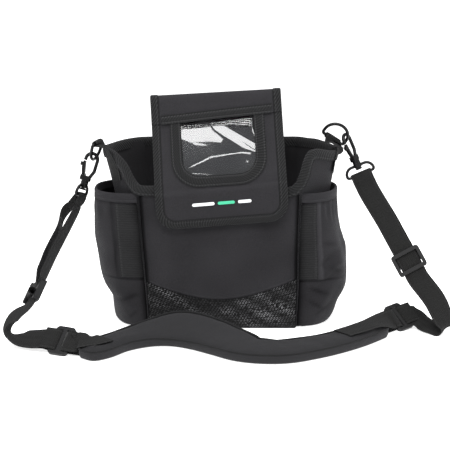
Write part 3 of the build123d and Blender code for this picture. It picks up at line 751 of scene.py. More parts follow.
# base and the stiff liner on it
side = column(-1, 1, 40)
y = np.linspace(-61.5, 61.5, 24)
grid = points(side * (side_x(y, 1.0) - 0.4), y, 0.9 + 0.12 * np.sin(side * 6 + y / 9))
ob = sheet("base_skin", grid, (0.5, 0.6), "shell", edge=PLAIN_EDGE)
own(ob, "bag", "outer_fabric", "base_panel")
grid = grid * vec(0.95, 0.94, 1) + vec(0, 0, 2.2)
own(sheet("base_liner", grid, (1.0, 1.0), "board"), "bag", "board", "base_board")

# ------------------------------------------------------------------ side pockets
POCKET_HALF = 57.0
POCKET_ROUND = 72.0  # nominal length around the pocket, for its shading
HEM_Z = 144.0

# reach: how far the pocket stands out, (z, reach). gathers: depth, waves, spread and start of
# the puckers under the hem. creases and dark: start (x, z), end (x, z), width, depth; dark holds
# the crease lines along which painted shade darkens the cloth.
# band_z: foot of the elastic; band_cols: grid columns it covers; band_shade: its side line.
POCKETS = {
    "l": dict(
        reach=table_fn([
            (2, 38), (5, 40), (15, 41.8), (29, 43.7), (37, 48), (44, 52.2), (57, 54.6),
            (71, 55.5), (85, 56.6), (99, 57.4), (113, 57.3), (128, 56.5), (148, 54.6),
            (155, 54.2),
        ]),
        gathers=(0.7, 60, 10, 0.2),
        creases=(
            ((96, 44), (124, 30), 5.5, -2.4), ((104, 18), (122, 46), 6.0, 2.2),
            ((128, 60), (120, 130), 7, -1.6),
        ),
        dark=(
            ((96, 40), (118, 29), 2.5, 0.45), ((108, 14), (119, 33), 2.2, 0.4),
            ((120, 104), (124, 62), 2.6, 0.35), ((98, 20), (108, 10), 2.0, 0.35),
        ),
        seed=8, band_z=57.5, band_cols=11, band_shade=0.55,
    ),
    "r": dict(
        reach=table_fn([
            (2, 40.5), (6, 44.5), (16, 49.8), (23, 52.4), (35, 57.6), (43, 59.8), (58, 60.0),
            (72, 58.6), (86, 56.5), (100, 51.6), (113, 48.8), (127, 45.4), (140, 43.6),
            (155, 43),
        ]),
        gathers=(1.0, 95, 12, 0.16),
        creases=(
            ((108, 62), (141, 92), 5.0, -3.0), ((104, 40), (134, 62), 4.5, -2.6),
            ((112, 20), (128, 50), 5.0, 2.0), ((120, 66), (142, 74), 4.0, 2.2),
            ((106, 84), (140, 110), 8, -1.6),
        ),
        dark=(
            ((100, 46), (124, 37), 2.3, 0.5), ((101, 31), (117, 20), 2.0, 0.45),
            ((126, 68), (142, 59), 2.6, 0.4), ((118, 97), (139, 92), 2.2, 0.35),
            ((108, 14), (128, 27), 2.2, 0.35),
        ),
        seed=5, band_z=55.0, band_cols=9, band_shade=-0.95,
    ),
}


def pocket_x(pocket, q, z):
    """Outer face of a pocket; q runs from -1 at its front edge to 1 at its rear edge."""
    bulge = (1 - np.abs(q) ** 2.6) ** np.where(q < 0, 0.40, 0.52)
    return corner_x(z) + 0.4 + pocket["reach"](z) * bulge


def build_pocket(key, sign):
    """Each grid is made for the right side, then mirrored and turned around for the left."""
    pocket = POCKETS[key]
    mirror = vec(sign, 1, 1)
    share = column(0, 1, 64)
    z = np.concatenate([np.linspace(2, 50, 22), np.linspace(52, 153.5, 46)])
    flat = np.zeros((64, len(z), 3))
    q = np.linspace(-1, 1, 400)
    for b, level in enumerate(z):
        outline = np.stack([pocket_x(pocket, q, level), q * POCKET_HALF], -1)
        length = path_length(outline)
        for axis in (0, 1):
            flat[:, b, axis] = np.interp(share[:, 0] * length[-1], length, outline[:, axis])
        flat[:, b, 2] = level
    x = flat[..., 0]
    normals = grid_normals(flat)

    # puckers below the hem and slack folds near the foot
    middle = np.sin(np.pi * share) ** 0.5
    depth, waves, spread, start = pocket["gathers"]
    folds = depth * np.cos(share * waves) * bell(z, 134, spread) * middle * (share > start)
    folds = folds + creases(x, z, pocket["creases"]) + noise(flat, 34, pocket["seed"]) * middle
    grid = flat + normals * folds[..., None]
    grid[0], grid[-1] = flat[0], flat[-1]

    band_z, band_cols = pocket["band_z"], pocket["band_cols"]
    edge = 2.6 + np.abs(z - band_z + 1.6 - 1.5 * np.sin(share * 9)) + 30 * smooth(0.45, 0.6, share)
    # painted shade: darker along the front seam and fading away from it, in lines at the elastic's
    # foot and under the hem, and along the dark crease lines; the noise adds broad random painted
    # light and shade. band_shade is the elastic's side stitch line, darker on the left pocket and
    # lighter on the right.
    gap = share * POCKET_ROUND
    band_side = (band_cols + 0.6) / 63.0 * POCKET_ROUND
    shade = 0.95 * bell(gap, 0, 2.4) + 0.30 * np.exp(-gap / 9.0)
    shade = shade + 0.55 * bell(z, band_z - 0.9, 1.0) * fade(0.3, 0.6, share)
    shade = shade + 0.6 * bell(z, 143.6, 1.1)
    shade = shade + pocket["band_shade"] * bell(gap, band_side, 0.8) * (z > band_z)
    shade = shade + 0.12 * noise(flat, 38, 12) + creases(x, z, pocket["dark"])
    ob = sheet("pocket_skin_" + key, (grid * mirror)[::sign], (0.6, 0.7), "shell",
               edge=edge[::sign], shade=np.clip(shade, -0.9, 1)[::sign])
    own(ob, "bag", "outer_fabric", "pocket_" + key)

    # floor
    y = column(-56.0, 56.0, 40)
    near = side_x(y, 2.0) + 0.9
    far = np.maximum(pocket_x(pocket, y / POCKET_HALF, 2.0) - 0.9, near + 0.3)
    floor_x = near + (far - near) * np.linspace(0, 1, 12)
    floor = points(floor_x, y, 1.6 + 0.15 * np.sin(np.arange(12) + y / 6.0))
    ob = sheet("pocket_floor_" + key, (floor * mirror)[::sign], (0.5, 0.5), "lining")
    own(ob, "bag", "outer_fabric")

    # hem on the outer side and over the top edge
    rows = z > HEM_Z
    hem = flat[:, rows] + normals[:, rows]
    last, normal = hem[:, -1], normals[:, -1]
    over = [last + vec(0, 0, rise) - normal * inset
            for rise, inset in ((0.9, 0.4), (0.9, 1.8), (-7.0, 2.6))]
    hem = np.concatenate([hem, np.stack(over, 1)], 1)
    edge = np.concatenate([z[rows] - z[rows][0], [20, 22, 28]])
    ob = sheet("pocket_hem_skin_" + key, (hem * mirror)[::sign], (0.6, 0.4), "shell", edge=edge)
    own(ob, "bag", "binding_tape", *(["pocket_hems"] if key == "r" else []))

    # elastic strip on the forward face
    rows = (z > band_z) & (z < HEM_Z)
    lift = (1.15 + 0.12 * np.sin(z[rows] * 0.9))[:, None]
    band = grid[:band_cols, rows] + normals[:band_cols, rows] * lift
    steps = np.arange(band_cols)[:, None]
    # the pocket's painted shade, weakened, carries over onto the elastic
    ob = sheet("elastic_skin_" + key, (band * mirror)[::sign], (0.5, 0.4), "elastic",
               edge=np.minimum(steps, band_cols - 1 - steps) * 2.1,
               shade=np.clip(shade[:band_cols, rows] * 0.8, 0, 1)[::sign])
    own(ob, "bag", "elastic", *(["pocket_elastics"] if key == "r" else []))


for key, sign in SIDES:
    build_pocket(key, sign)

# slack at the front corners: one soft pull over these cloth layers
SLACK = ("front_skin", "vent_skin", "side_skin", "lining_skin", "rim_tape", "base_skin",
         "pocket_skin", "pocket_hem", "pocket_floor", "elastic_skin")
cad_parts = list(frame["nodes"].values())
for ob in bpy.data.objects:
    if ob.type != "MESH" or ob in cad_parts or not ob.name.startswith(SLACK):
        continue
    coords = np.empty(len(ob.data.vertices) * 3)
    ob.data.vertices.foreach_get("co", coords)
    coords = coords.reshape(-1, 3)
    x, y, z = (coords / MM).T
    left = 3.0 * smooth(20, 84, -x) * fade(20, 160, z)
    right = 4.0 * smooth(20, 85, x) * smooth(0, 150, z)
    coords[:, 0] += MM * (left - right) * fade(-50, 10, y)
    ob.data.vertices.foreach_set("co", coords.reshape(-1))
    ob.data.update()

# ------------------------------------------------------------------ flap
TILT = math.radians(4.5)
FLAP_HALF = 73.5
# the flap's side view: (y, z)
HINGE, FOLD, CREASE = vec(66.0, 212.0), vec(-28.0, 260.0), vec(-70.3, 160.0)
profile = [
    (66.8, 184.0), (66.9, 192.0), (66.9, 200.0), (66.8, 208.0), (64.2, 214.5), (58.0, 217.2),
    *[HINGE + (FOLD - HINGE) * q + vec(0, -1.5 * math.sin(math.pi * q))
      for q in (0.2, 0.4, 0.6, 0.8)],
    (-19.5, 256.3), (-25.5, 259.6), (-29.4, 259.4), (-31.6, 255.5),
    *[FOLD + (CREASE - FOLD) * q + vec(-0.6, 0) for q in (0.12, 0.3, 0.5, 0.7, 0.88)],
    (-69.6, 162.6), (-71.4, 156.5), (-71.9, 148.0), (-72.4, 135.0), (-72.8, 121.5),
]
flap_line = catmull(profile, 10)
flap_run = path_length(flap_line)


def run_near(y, z):
    """Distance along the flap to its point nearest (y, z)."""
    return flap_run[np.argmin(np.linalg.norm(flap_line - vec(y, z), axis=1))]


AT_FOLD = run_near(-27.5, 260.0)
AT_CREASE = run_near(-70.4, 160.0)
AT_HINGE = run_near(65.6, 211.8)
AT_END = flap_run[-1]
AT_MIDDLE = (AT_HINGE + AT_FOLD) / 2


def flap_at(x, run, lift=0.0):
    """Point of the flap, x across it and run along it, lifted off its outer side."""
    x, run = np.broadcast_arrays(np.asarray(x, float), np.asarray(run, float))

    def line_at(where):
        return [np.interp(where, flap_run, flap_line[:, axis]) for axis in (0, 1)]

    y, z = line_at(run)
    (y_after, z_after), (y_before, z_before) = line_at(run + 0.6), line_at(run - 0.6)
    step_y, step_z = y_after - y_before, z_after - z_before
    length = np.maximum(np.hypot(step_y, step_z), 1e-6)
    down = run - AT_FOLD
    lift = lift + 0.55 * np.sin(x / 21.0 + down / 34.0) * smooth(0, 30, down)
    lift = lift - 0.7 * bell(down, 104, 5.0) + 0.9 * bell(down, 109 - x * 0.03, 3.0)
    lift = lift + 0.8 * smooth(40, 73, np.abs(x)) * smooth(110, 140, down)
    # the fold stands a little higher on the left
    near_fold = np.where(down > 0, fade(3, 23, down), fade(6, 70, -down))
    y = y + step_z / length * lift
    z = z - step_y / length * lift + near_fold * (4.4 - 0.0212 * x)
    # the whole flap leans sideways about (2, 160) in x and z
    x, z = x - 2.0 + 0.016 * (z - 150.0), z - 160.0
    cos, sin = math.cos(TILT), math.sin(TILT)
    return points(2.0 + x * cos - z * sin, y, 160.0 + x * sin + z * cos)


def band_end(x):
    """Distance from the fold to the top band's lower edge, which isn't quite square."""
    return 26.7 - 0.032 * x


FLAP_COLS = 149


def flap_panel(name, start, end, lift, rows, corner=0.0, cut=None):
    """Taped panel of the flap; end may be an array with one value for each column."""
    run = np.linspace(start, end, rows, axis=-1)
    half = np.full(rows, FLAP_HALF)
    if corner:
        q = np.clip((run - (end - corner)) / corner, 0, 1)
        half = FLAP_HALF - corner + corner * np.sqrt(np.clip(1 - q**2, 0.0, 1))
    x = column(-1, 1, FLAP_COLS) * half
    run = np.broadcast_to(run, x.shape)
    edge = FLAP_HALF - np.abs(x)
    if corner:
        edge = np.minimum(edge, end - run)
        beyond_x, beyond_run = np.abs(x) - (FLAP_HALF - corner), run - (end - corner)
        in_corner = (beyond_x > 0) & (beyond_run > 0)
        edge = np.where(in_corner, corner - np.hypot(beyond_x, beyond_run), edge)
    layer = 0.9 + 0.75 * fade(TAPE_WIDTH - 0.6, TAPE_WIDTH + 0.3, edge)
    layer = layer * (0.35 + 0.65 * smooth(-0.2, 1.2, edge))
    keep = None if cut is None else ~cut(x, run)[:-1, :-1]
    return sheet(name, flap_at(x, run, lift), (layer, layer), "flap", keep=keep,
                 uv=(column(0, 2 * FLAP_HALF, FLAP_COLS), run), edge=edge)


def window_hole(x, run):
    """True inside the window, whose two lower corners are round."""
    down = run - AT_FOLD
    radius, half, low = 22.0, 45.0, 96.0
    inside = (np.abs(x) < half) & (down > 19) & (down < low)
    beyond_x, beyond_down = np.abs(x) - (half - radius), down - (low - radius)
    corner = (beyond_x > 0) & (beyond_down > 0)
    return np.where(corner, np.hypot(beyond_x, beyond_down) < radius, inside) & inside


ob = flap_panel("flap_rear_skin", 0.5, AT_MIDDLE + 6, -0.9, rows=64)
bridge(ob, ("flap_return_panel", "flap_return_tape", "flap_anchor_strip"),
       flap_at(0, AT_HINGE - 4), flap_at(0, AT_HINGE + 9))
band_low = AT_FOLD + band_end(np.linspace(-1, 1, FLAP_COLS) * FLAP_HALF) - 1.2
ob = flap_panel("flap_fold_skin", AT_MIDDLE, band_low, 0.7, rows=84)
bridge(ob, ("flap_top_band",),
       flap_at(0, AT_FOLD - 7), flap_at(0, AT_FOLD + 7))
ob = flap_panel("flap_front_skin", AT_FOLD + 12, AT_END, -0.6, rows=142, corner=22.0,
                cut=window_hole)
bridge(ob,
       ("flap_face_panel", "flap_face_tape", "flap_tip_panel", "flap_tip_tape"),
       flap_at(0, AT_CREASE - 4), flap_at(0, AT_CREASE + 5))

# diagonal-rib tape on the band's lower edge
BAND_TAPE = 9.6
x = column(-62.0, 62.0, 90)
across = np.linspace(0, BAND_TAPE, 8)
run = AT_FOLD + band_end(x) - BAND_TAPE + across
ob = sheet("flap_band_tape", flap_at(x, run, 2.3), (0.55, 0.7), "tape", uv=(x, run),
           edge=np.minimum(across, BAND_TAPE - across))
own(ob, "flap_face", "binding_tape")


# U-shaped tape around the window
def window_outline(half, depth, radius):
    """110 even points (x, distance below the fold) down, across and up a U."""
    turn = np.linspace(0, math.pi / 2, 12)[1:]
    cos, sin = radius * np.cos(turn), radius * np.sin(turn)
    inset, low = half - radius, depth - radius
    bottom = np.linspace(-inset, inset, 8)[1:]
    path = np.concatenate([
        [(-half, 20.0), (-half, low)],
        np.stack([-inset - cos, low + sin], -1),
        np.stack([bottom, np.full(7, depth)], -1),
        np.stack([inset + sin, low + cos], -1),
        [(half, 20.0)],
    ])
    length = path_length(path)
    even = np.linspace(0, length[-1], 110)
    return np.stack([np.interp(even, length, path[:, axis]) for axis in (0, 1)], -1)


WINDOW_TAPE = 12.0
inner = window_outline(41.0, 91.5, radius=20.0)
outer = window_outline(53.0, 103.5, radius=31.0)
share = np.linspace(0, 1, 9)
flat = inner[:, None] * (1 - share)[:, None] + outer[:, None] * share[:, None]
crown = 0.5 * np.sqrt(np.clip(1 - (2 * share - 1) ** 2, 0, 1))
grid = flap_at(flat[..., 0], flat[..., 1] + AT_FOLD, 1.05 + crown)
ob = sheet("window_tape_skin", grid[::-1], (0.5, 0.6), "tape",
           uv=(path_length(outer)[:, None], share * WINDOW_TAPE),
           edge=np.minimum(share, 1 - share) * WINDOW_TAPE)
own(ob, "flap_face", "binding_tape", "window_binding")

# window film; its slack folds are areas that slope to catch light
x = column(-49, 49, 260)
down = np.linspace(17, 100, 240)
blob_low = np.interp(x, [-49, -41, -30, -8, 3, 6], [43.5, 45, 50.5, 51, 53.5, 50])
blob_right = np.interp(down, [17, 28, 33, 38, 50], [-2, -5, -9.5, -7.5, 5.0])
blob = fade(-1.6, 1.6, down - blob_low) * fade(-2.0, 2.0, x - blob_right)
streak_top = np.interp(x, [-10, -3.3, 9.2, 24.7, 41.8, 49], [26, 28, 36.5, 47, 58.5, 62])
streak_low = np.interp(x, [-10, -5, 5.3, 17.6, 26.8, 37.7, 49], [27, 35.5, 45, 54, 61, 66.0, 70.0])
streak = smooth(-1.2, 1.2, down - streak_top) * smooth(-1.5, 1.5, streak_low - down)
split = bell(down, streak_top + 6.5 + 0.10 * (x - 30), 1.1) * smooth(20, 30, x)
streak = streak * smooth(-6, -2, x) * (1 - 0.85 * split)
upper = fade(30, 34, down - 0.20 * (x - 8) * (x > 8) + 0.03 * x)
corner = bell(x, 41.5, 2.2) * bell(down, 45 + 0.9 * (x - 41.5), 3.6)
thin_mid = np.interp(x, [-34, -33, -17.6, -9.2, 10.2, 24.8, 34.4, 36],
                     [80, 79.3, 73.4, 69.8, 68.0, 67.0, 68.6, 69])
thin = bell(down, thin_mid, np.interp(x, [-34, -12, 20, 36], [0.5, 0.85, 0.6, 1.1]))
thin = thin * smooth(-36, -30, x) * fade(33, 37, x)
dash = 0.55 * bell(down, 53.2 + 0.2 * (x + 25), 1.0) * smooth(-29, -26, x) * fade(-20, -9, x)
low = 0.5 * bell(down, 86.5 + 0.15 * (x + 31), 0.6) * smooth(-33, -30, x) * fade(-12, -4, x)
spot = 0.7 * bell(x, 31, 1.1) * bell(down, 77.5, 1.6)
lit = np.clip(np.maximum.reduce([blob, streak, 0.85 * upper, corner, thin, dash, low, spot]), 0, 1)
ripple = 0.5 + 0.5 * np.sin(x / 6.1 + down / 3.4 + 1.5 * np.sin(x / 11.0))
lit = lit * (0.90 + 0.10 * ripple)
height = np.cumsum(-0.045 + 0.125 * lit, axis=1) * (83.0 / 239)
height = height - np.mean(height, axis=1, keepdims=True)
height = height - (height.max() - 0.6)
height = height * smooth(0, 5, 49 - np.abs(x)) * smooth(0, 4, 100 - down) * smooth(0, 4, down - 17)
grid = flap_at(x, down + AT_FOLD, -1.9 + height)
ob = sheet("window_film_skin", grid, (0.15, 0.15), "film", uv=(x, down))
own(ob, "flap_face", "film", "window_film")

# grid scrim along the window's top
x = column(-44, 44, 60)
depth = 0.74 - 0.06 * smooth(-44, 0, x) + 0.30 * smooth(6, 22, x)
down = 20 + np.linspace(0, 20, 16) * depth
grid = flap_at(x, down + AT_FOLD, -1.30)
ob = sheet("window_scrim_skin", grid, (0.12, 0.12), "scrim", uv=(x, down))
own(ob, "flap_face", "vent_mesh", "window_scrim")

# stitched marks on the tip: (left x, right x, thread)
MARKS = ((-33, -8, "white"), (-4.5, 14.5, "green"), (18, 33, "white"))
MARK_HALF = 1.7
for k, (left, right, mat) in enumerate(MARKS):
    x = column(left, right, 30)
    inset = np.minimum(np.minimum(x - left, right - x), MARK_HALF)
    rounded = np.sqrt(np.clip(1 - (1 - inset / MARK_HALF) ** 2, 0.02, 1))
    down = MARK_HALF + (np.linspace(0, 2 * MARK_HALF, 7) - MARK_HALF) * rounded
    grid = flap_at(x, down + AT_CREASE + 11.5, 0.95)
    ob = sheet("flap_mark_%d" % k, grid, (0.45, 0.2), mat, uv=(x, down))
    own(ob, "flap_tip", "stripe", *(["flap_stripes"] if k == 0 else []))

# hook-and-loop pieces
x, down = column(-52, 52, 40), np.linspace(10, 26, 10)
grid = flap_at(x, down + AT_CREASE, -2.2)[::-1]
ob = sheet("flap_patch_skin", grid, (0.9, 0.5), "patch", uv=(x, down))
own(ob, "flap_tip", "hook_loop", "flap_hook_patch")
x, z = column(-50, 54, 50), np.linspace(127, 146, 12)
grid = points(x, front_y(x, z) - 1.0, z)
ob = sheet("front_patch_skin", grid, (0.5, 0.4), "patch", uv=(x, z))
own(ob, "bag", "hook_loop", "front_loop_patch")

# ------------------------------------------------------------------ strap
# bar: bar the ring's tab wraps. eye: end of the webbing on the bag's side. slider: its middle.
# Every "across" is a width direction; run_across covers the straight run past the slider.
STRAP = {
    "r": dict(
        bar=vec(128.7, 0, 209.7), bar_axis=vec(0.843, 0.08029, -0.53189),
        tab=[(129.2, -9, 172), (131.1, -9, 184), (133.8, -8.5, 193), (136.2, -6, 199.8)],
        tab_end=vec(134.6, -3.0, 205.5),
        tab_across=[(0.09, 0.99, 0), (0.10, 0.99, 0), (0.22, 0.97, -0.1), (0.6, 0.75, -0.3),
                    (0.8, 0.3, -0.5)],
        eye=vec(162.25959, -4.43868, 168.86643), eye_across=vec(0.91347, -0.05924, 0.40257),
        slider=vec(213.5, -50, 76), slider_across=vec(0.87, 0.0, 0.48),
        run_across=[(0.91347, -0.05924, 0.40257)] + [(0.87, 0.0, 0.48)] * 6,
        rest=[(239.0, -75.0, 38.0), (247.5, -84.0, 20.0), (250.5, -88.0, 9.0),
              (246.0, -85.0, 3.6), (238.5, -78.0, 4.0), (231.0, -65.0, 6.5),
              (222.0, -55.5, 11.0)],
        rest_across=[(0.86, 0.1, 0.42), (0.80, 0.40, 0.35), (0.62, 0.70, 0.30),
                     (0.35, 0.90, 0.20), (0.12, 0.97, 0.2), (-0.15, 0.90, 0.30),
                     (-0.30, 0.75, 0.50)],
    ),
    "l": dict(
        bar=vec(-142.5, -2, 205), bar_axis=vec(0.30017, 0.95052, 0.08004),
        tab=[(-118.3, -33, 166), (-120.4, -32.5, 178), (-125.8, -29.5, 190),
             (-131.5, -22, 200.0)],
        tab_end=vec(-137.5, -11, 205.5),
        tab_across=[(-0.55, 0.83, 0), (-0.52, 0.85, 0), (-0.45, 0.89, 0), (-0.1, 0.98, 0.05),
                    (0.2, 0.96, 0.1)],
        eye=vec(-162.03468, -12.44191, 145.91242), eye_across=vec(0.2474, 0.94142, -0.22918),
        slider=vec(-206, -88, 49), slider_across=vec(-0.50, 0.77, -0.40),
        run_across=[(0.20, 0.95, -0.20), unit((0.24, 0.93, -0.27)), unit((0.23, 0.93, -0.28)),
                    unit((0.16, 0.94, -0.30)), (-0.50, 0.77, -0.40),
                    unit((-0.52, 0.78, -0.30)), unit((-0.60, 0.78, -0.08))],
        rest=[(-225.5, -110.0, 28.0), (-230.0, -118.0, 20.0), (-228.0, -126.5, 14.0),
              (-220.5, -133.5, 11.5), (-211.0, -139.5, 10.9), (-200.0, -144.5, 11.6),
              (-188.0, -149.5, 13.3)],
        rest_across=[(-0.58, 0.80, 0.0), (-0.52, 0.85, 0.0), (-0.42, 0.90, 0.0),
                     (-0.12, 0.97, 0.16), (0.16, 0.86, 0.48), (0.25, 0.76, 0.60),
                     (0.26, 0.72, 0.64)],
    ),
}

# tabs from the bag's sides around the ring bars
for key, part in STRAP.items():
    bar, axis = part["bar"], part["bar_axis"]
    out = perp(part["tab_end"] - bar, axis)
    rise = facing(np.cross(axis, out), vec(0, 0, 1))
    lead = catmull(part["tab"] + [bar + out * 3.1 - rise * 2.5], 5)
    lead_across = unit(catmull([unit(across) for across in part["tab_across"]], 5))
    loop = [bar + (out * math.cos(a) + rise * math.sin(a)) * 3.0
            for a in np.linspace(0, 1.45 * math.pi, 14)]
    centres = np.concatenate([lead, loop])
    widths = np.concatenate([lead_across, [facing(axis, lead_across[-1])] * 14])
    ob = webbing("ring_tab_" + key, centres, widths, half=9.6, thick=1.3, cols=7)
    bridge(ob, ("tab_base_" + key, "tab_loop_" + key),
           lead[12], bar - rise * 1.0)

BAR_OFFSET = 9.85  # from a pad loop's centre to each of its two bars


def pad_loop(centre, along, across):
    """Centre of a pad loop and its directions toward the pad, across and up."""
    along = unit(along)
    across = perp(across, along)
    up = np.cross(across, along)
    if up[2] < 0:
        across, up = -across, -up
    return centre, along, across, up


PAD_LOOPS = dict(
    l=pad_loop(vec(-168.5, -157.0, 13.0), vec(0.93, -0.36, -0.05), vec(0.25, 0.70, 0.67)),
    r=pad_loop(vec(202.0, -61.0, 13.0), vec(-0.82, -0.55, -0.15), vec(-0.44, 0.61, 0.64)),
)


def round_bar(bar, along, up):
    """Half turn of webbing around a flat bar, from below to above."""
    return [bar + (along * (math.cos(a) * 2.25) + up * math.sin(a)) * 2.9
            for a in np.linspace(-0.5 * math.pi, 0.5 * math.pi, 9)]


EYE_TURN = 1.7 + 0.35 + 0.6  # radius of the webbing's turn around the eye
# webbing's end around the slider's middle bar: (down the strap, forward)
WRAP = [(-9, -3.4), (-4.2, -3.3), (-1.5, -1.9), (1.5, -1.9), (3.4, -2.6), (3.6, -4.4),
        (1.8, -5.4), (-1.6, -5.6), (-5, -5.2), (-11, -4.8)]


def build_webbing(key):
    part = STRAP[key]
    eye, eye_across, slider = part["eye"], part["eye_across"], part["slider"]
    length = float(np.linalg.norm(slider - eye))
    fall = unit(slider - eye)
    start = perp(fall, eye_across)
    centre, along, across, up = PAD_LOOPS[key]

    # front strand: eye, past the slider, down to the floor and around the pad loop
    past = slider + fall * 24 if key == "r" else vec(-217.5, -104.0, 34.0)
    path = [eye + start * 8.0, eye + start * 14 + fall * 12.0]
    path += [slider + fall * q for q in (-54, -36, -18, 0, 12)]
    path += [past] + part["rest"] + [centre - along * 15.5 - up * 1.4]
    last_across = facing(across, part["rest_across"][-1])
    path_across = [eye_across] + part["run_across"] + part["rest_across"] + [last_across]
    bar = centre - along * BAR_OFFSET
    end = round_bar(bar, along, up)
    end += [bar - along * q + up * (2.9 - q * 0.05) for q in (4, 8, 12)]
    centres = np.concatenate([catmull(path, 8), end])
    widths = np.concatenate([unit(catmull(path_across, 8)), [last_across] * len(end)])
    frame_across, normals = path_frame(centres, widths)
    if normals[12][1] >= 0:
        normals = -normals
    front = facing(unit(np.cross(eye_across, start)), normals[0])
    first_across = facing(eye_across, frame_across[0])
    lead = [eye + (front * math.cos(a) - start * math.sin(a)) * EYE_TURN
            for a in np.linspace(math.pi, 0, 10)]
    lead += [eye + start * 4 + front * EYE_TURN, eye + start * 8 + front * (EYE_TURN - 0.8)]
    ob = webbing("webbing_skin_" + key, np.concatenate([lead, centres[2:]]),
                 np.concatenate([[first_across] * len(lead), widths[2:]]),
                 half=12.5, thick=1.2, cols=9)
    own(ob, "strap", "webbing", "webbing_" + key)

    # returning strand: from the eye's back to the slider
    back = [eye + start * 0.4 - front * EYE_TURN]
    back_across = [first_across]
    for spot, spot_across, normal in zip(centres[2:], frame_across[2:], normals[2:]):
        run = float(np.dot(spot - eye, fall))
        if run > length - 9:
            break
        share = run / length
        arch = math.sin(math.pi * share)
        if key == "r":
            away = 2.2 + 3.4 * arch
        else:
            away = 2.4 + 4.0 * arch**0.6 + 7.0 * bell(share, 0.2, 0.13)
        if share < 0.2:
            away = max(away, EYE_TURN + 1.2)
        back.append(spot - normal * away)
        back_across.append(spot_across)
    forward = normals[14]
    back.append(slider - fall * 4.6 - forward * 3.6)
    back_across.append(part["slider_across"])
    ob = webbing("webbing_back_" + key, back, back_across, half=12.3, thick=1.2, cols=9)
    own(ob, "strap", "webbing", "webbing_return_" + key)
    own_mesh(ob)

    # sewn end around the slider's middle bar
    wrap = catmull([slider + fall * a + forward * b for a, b in WRAP], 4)
    ob = webbing("webbing_wrap_" + key, wrap, perp(part["slider_across"], fall), half=13.6,
                 thick=1.0, cols=7)
    own(ob, "slider_end_" + key, "webbing", "webbing_end_" + key)


for key in "rl":
    build_webbing(key)

# ------------------------------------------------------------------ pad
# near lower edge from left to right: (x, y, tilt in degrees, half width)
PAD_PATH = [
    (-150.0, -172.0, 8.0, 12.0), (-143.0, -181.5, 7.0, 17.0), (-131.0, -189.0, 3.0, 20.0),
    (-115.0, -177.0, 3.0, 20.0), (-98.0, -153.0, 3.0, 18.0), (-76.0, -137.5, 10.0, 20.5),
    (-54.0, -135.0, 24.0, 24.0), (-32.0, -147.0, 18.0, 25.0), (-10.0, -167.0, 10.0, 25.0),
    (14.0, -189.0, 4.0, 25.0), (42.0, -199.0, 3.0, 25.0), (72.0, -197.0, 2.0, 24.0),
    (102.0, -181.0, 2.0, 22.0), (130.0, -160.0, 2.0, 19.5), (156.0, -135.0, 3.0, 18.0),
    (178.0, -108.0, 7.0, 15.0), (188.0, -92.0, 6.0, 13.0),
]
# cross-section: (share of the half width, height, added offset across)
PAD_SECTION = np.array([
    (-1.00, 0.3, 0), (-1.0, 0.6, -0.6), (-1.0, 3.0, -1.3), (-1.0, 6.0, -1.3), (-1.0, 8.4, -0.7),
    (-1.0, 9.4, 0.3), (-1.0, 9.0, 1.4), (-1.0, 9.9, 2.6), (-1.0, 11.3, 6.0), (-0.62, 12.4, 0),
    (-0.3, 12.9, 0), (0.0, 13.0, 0), (0.3, 12.9, 0), (0.62, 12.4, 0), (1.0, 11.3, -6.0),
    (1.0, 9.9, -2.6), (1.0, 9.0, -1.4), (1.0, 9.4, -0.3), (1.0, 8.4, 0.7), (1.0, 6.0, 1.3),
    (1.0, 3.0, 1.3), (1.0, 0.6, 0.6), (1.0, 0.3, 0), (0.5, 0.15, 0), (0.0, 0.1, 0),
    (-0.5, 0.15, 0),
])
pad_x, pad_y, tilt, pad_half = catmull(PAD_PATH, 8).T
pad_line = points(pad_x, pad_y, 0.6)
along = tangents(pad_line)
tilt = np.radians(tilt)
pad_across = points(-along[:, 1] * np.cos(tilt), along[:, 0] * np.cos(tilt), np.sin(tilt))
pad_up = unit(np.cross(along, pad_across))
pad_mid = pad_line + pad_across * pad_half[:, None]

share, height, offset = PAD_SECTION.T
grid = pad_mid[:, None] + pad_across[:, None] * (share * pad_half[:, None] + offset)[..., None]
grid = grid + pad_up[:, None] * height[:, None]
wrinkle = (0.5 * noise(grid, 26, 11) + 0.35 * noise(grid, 12, 4)) * (height > 9.5)
grid = grid + pad_up[:, None] * wrinkle[..., None]
# round the two ends
for i in range(7):
    shrink = 0.55 + 0.45 * math.sqrt(max(1 - (1 - i / 6.0) ** 2, 0.06))
    for k in (i, len(grid) - 1 - i):
        core = pad_mid[k] + pad_up[k] * 6.0
        grid[k] = core + (grid[k] - core) * shrink
        grid[k, :, 2] = np.maximum(grid[k, :, 2], 0.6)
section_run = path_length(np.stack([share * 29 + offset, height], -1))
ob = sheet("pad_skin", grid.transpose(1, 0, 2)[::-1], (0.05, 0.6), "pad", closed=True,
           smooth_deg=70, uv=(section_run[::-1, None], path_length(pad_line)), edge=PLAIN_EDGE)
own(ob, "strap", "outer_fabric", "pad_base_cover", "pad_top_cover", "pad_foam")

# piping along both long edges
angle = np.linspace(0, 2 * np.pi, 9)[:-1, None, None]
for name, sign, radius in (("near", -1, 1.0), ("far", 1, 1.7)):
    line = pad_mid + pad_across * sign * (pad_half[:, None] - 0.4) + pad_up * 9.3
    line = catmull(line[3:-3][::2], 3)
    across, normals = path_frame(line, vec(0, 0, 1))
    grid = line + (across * np.cos(angle) + normals * np.sin(angle)) * radius
    ob = sheet("pad_piping_" + name, grid, (0.1, 0.3), "piping", closed=True)
    own(ob, "strap", "binding_tape")

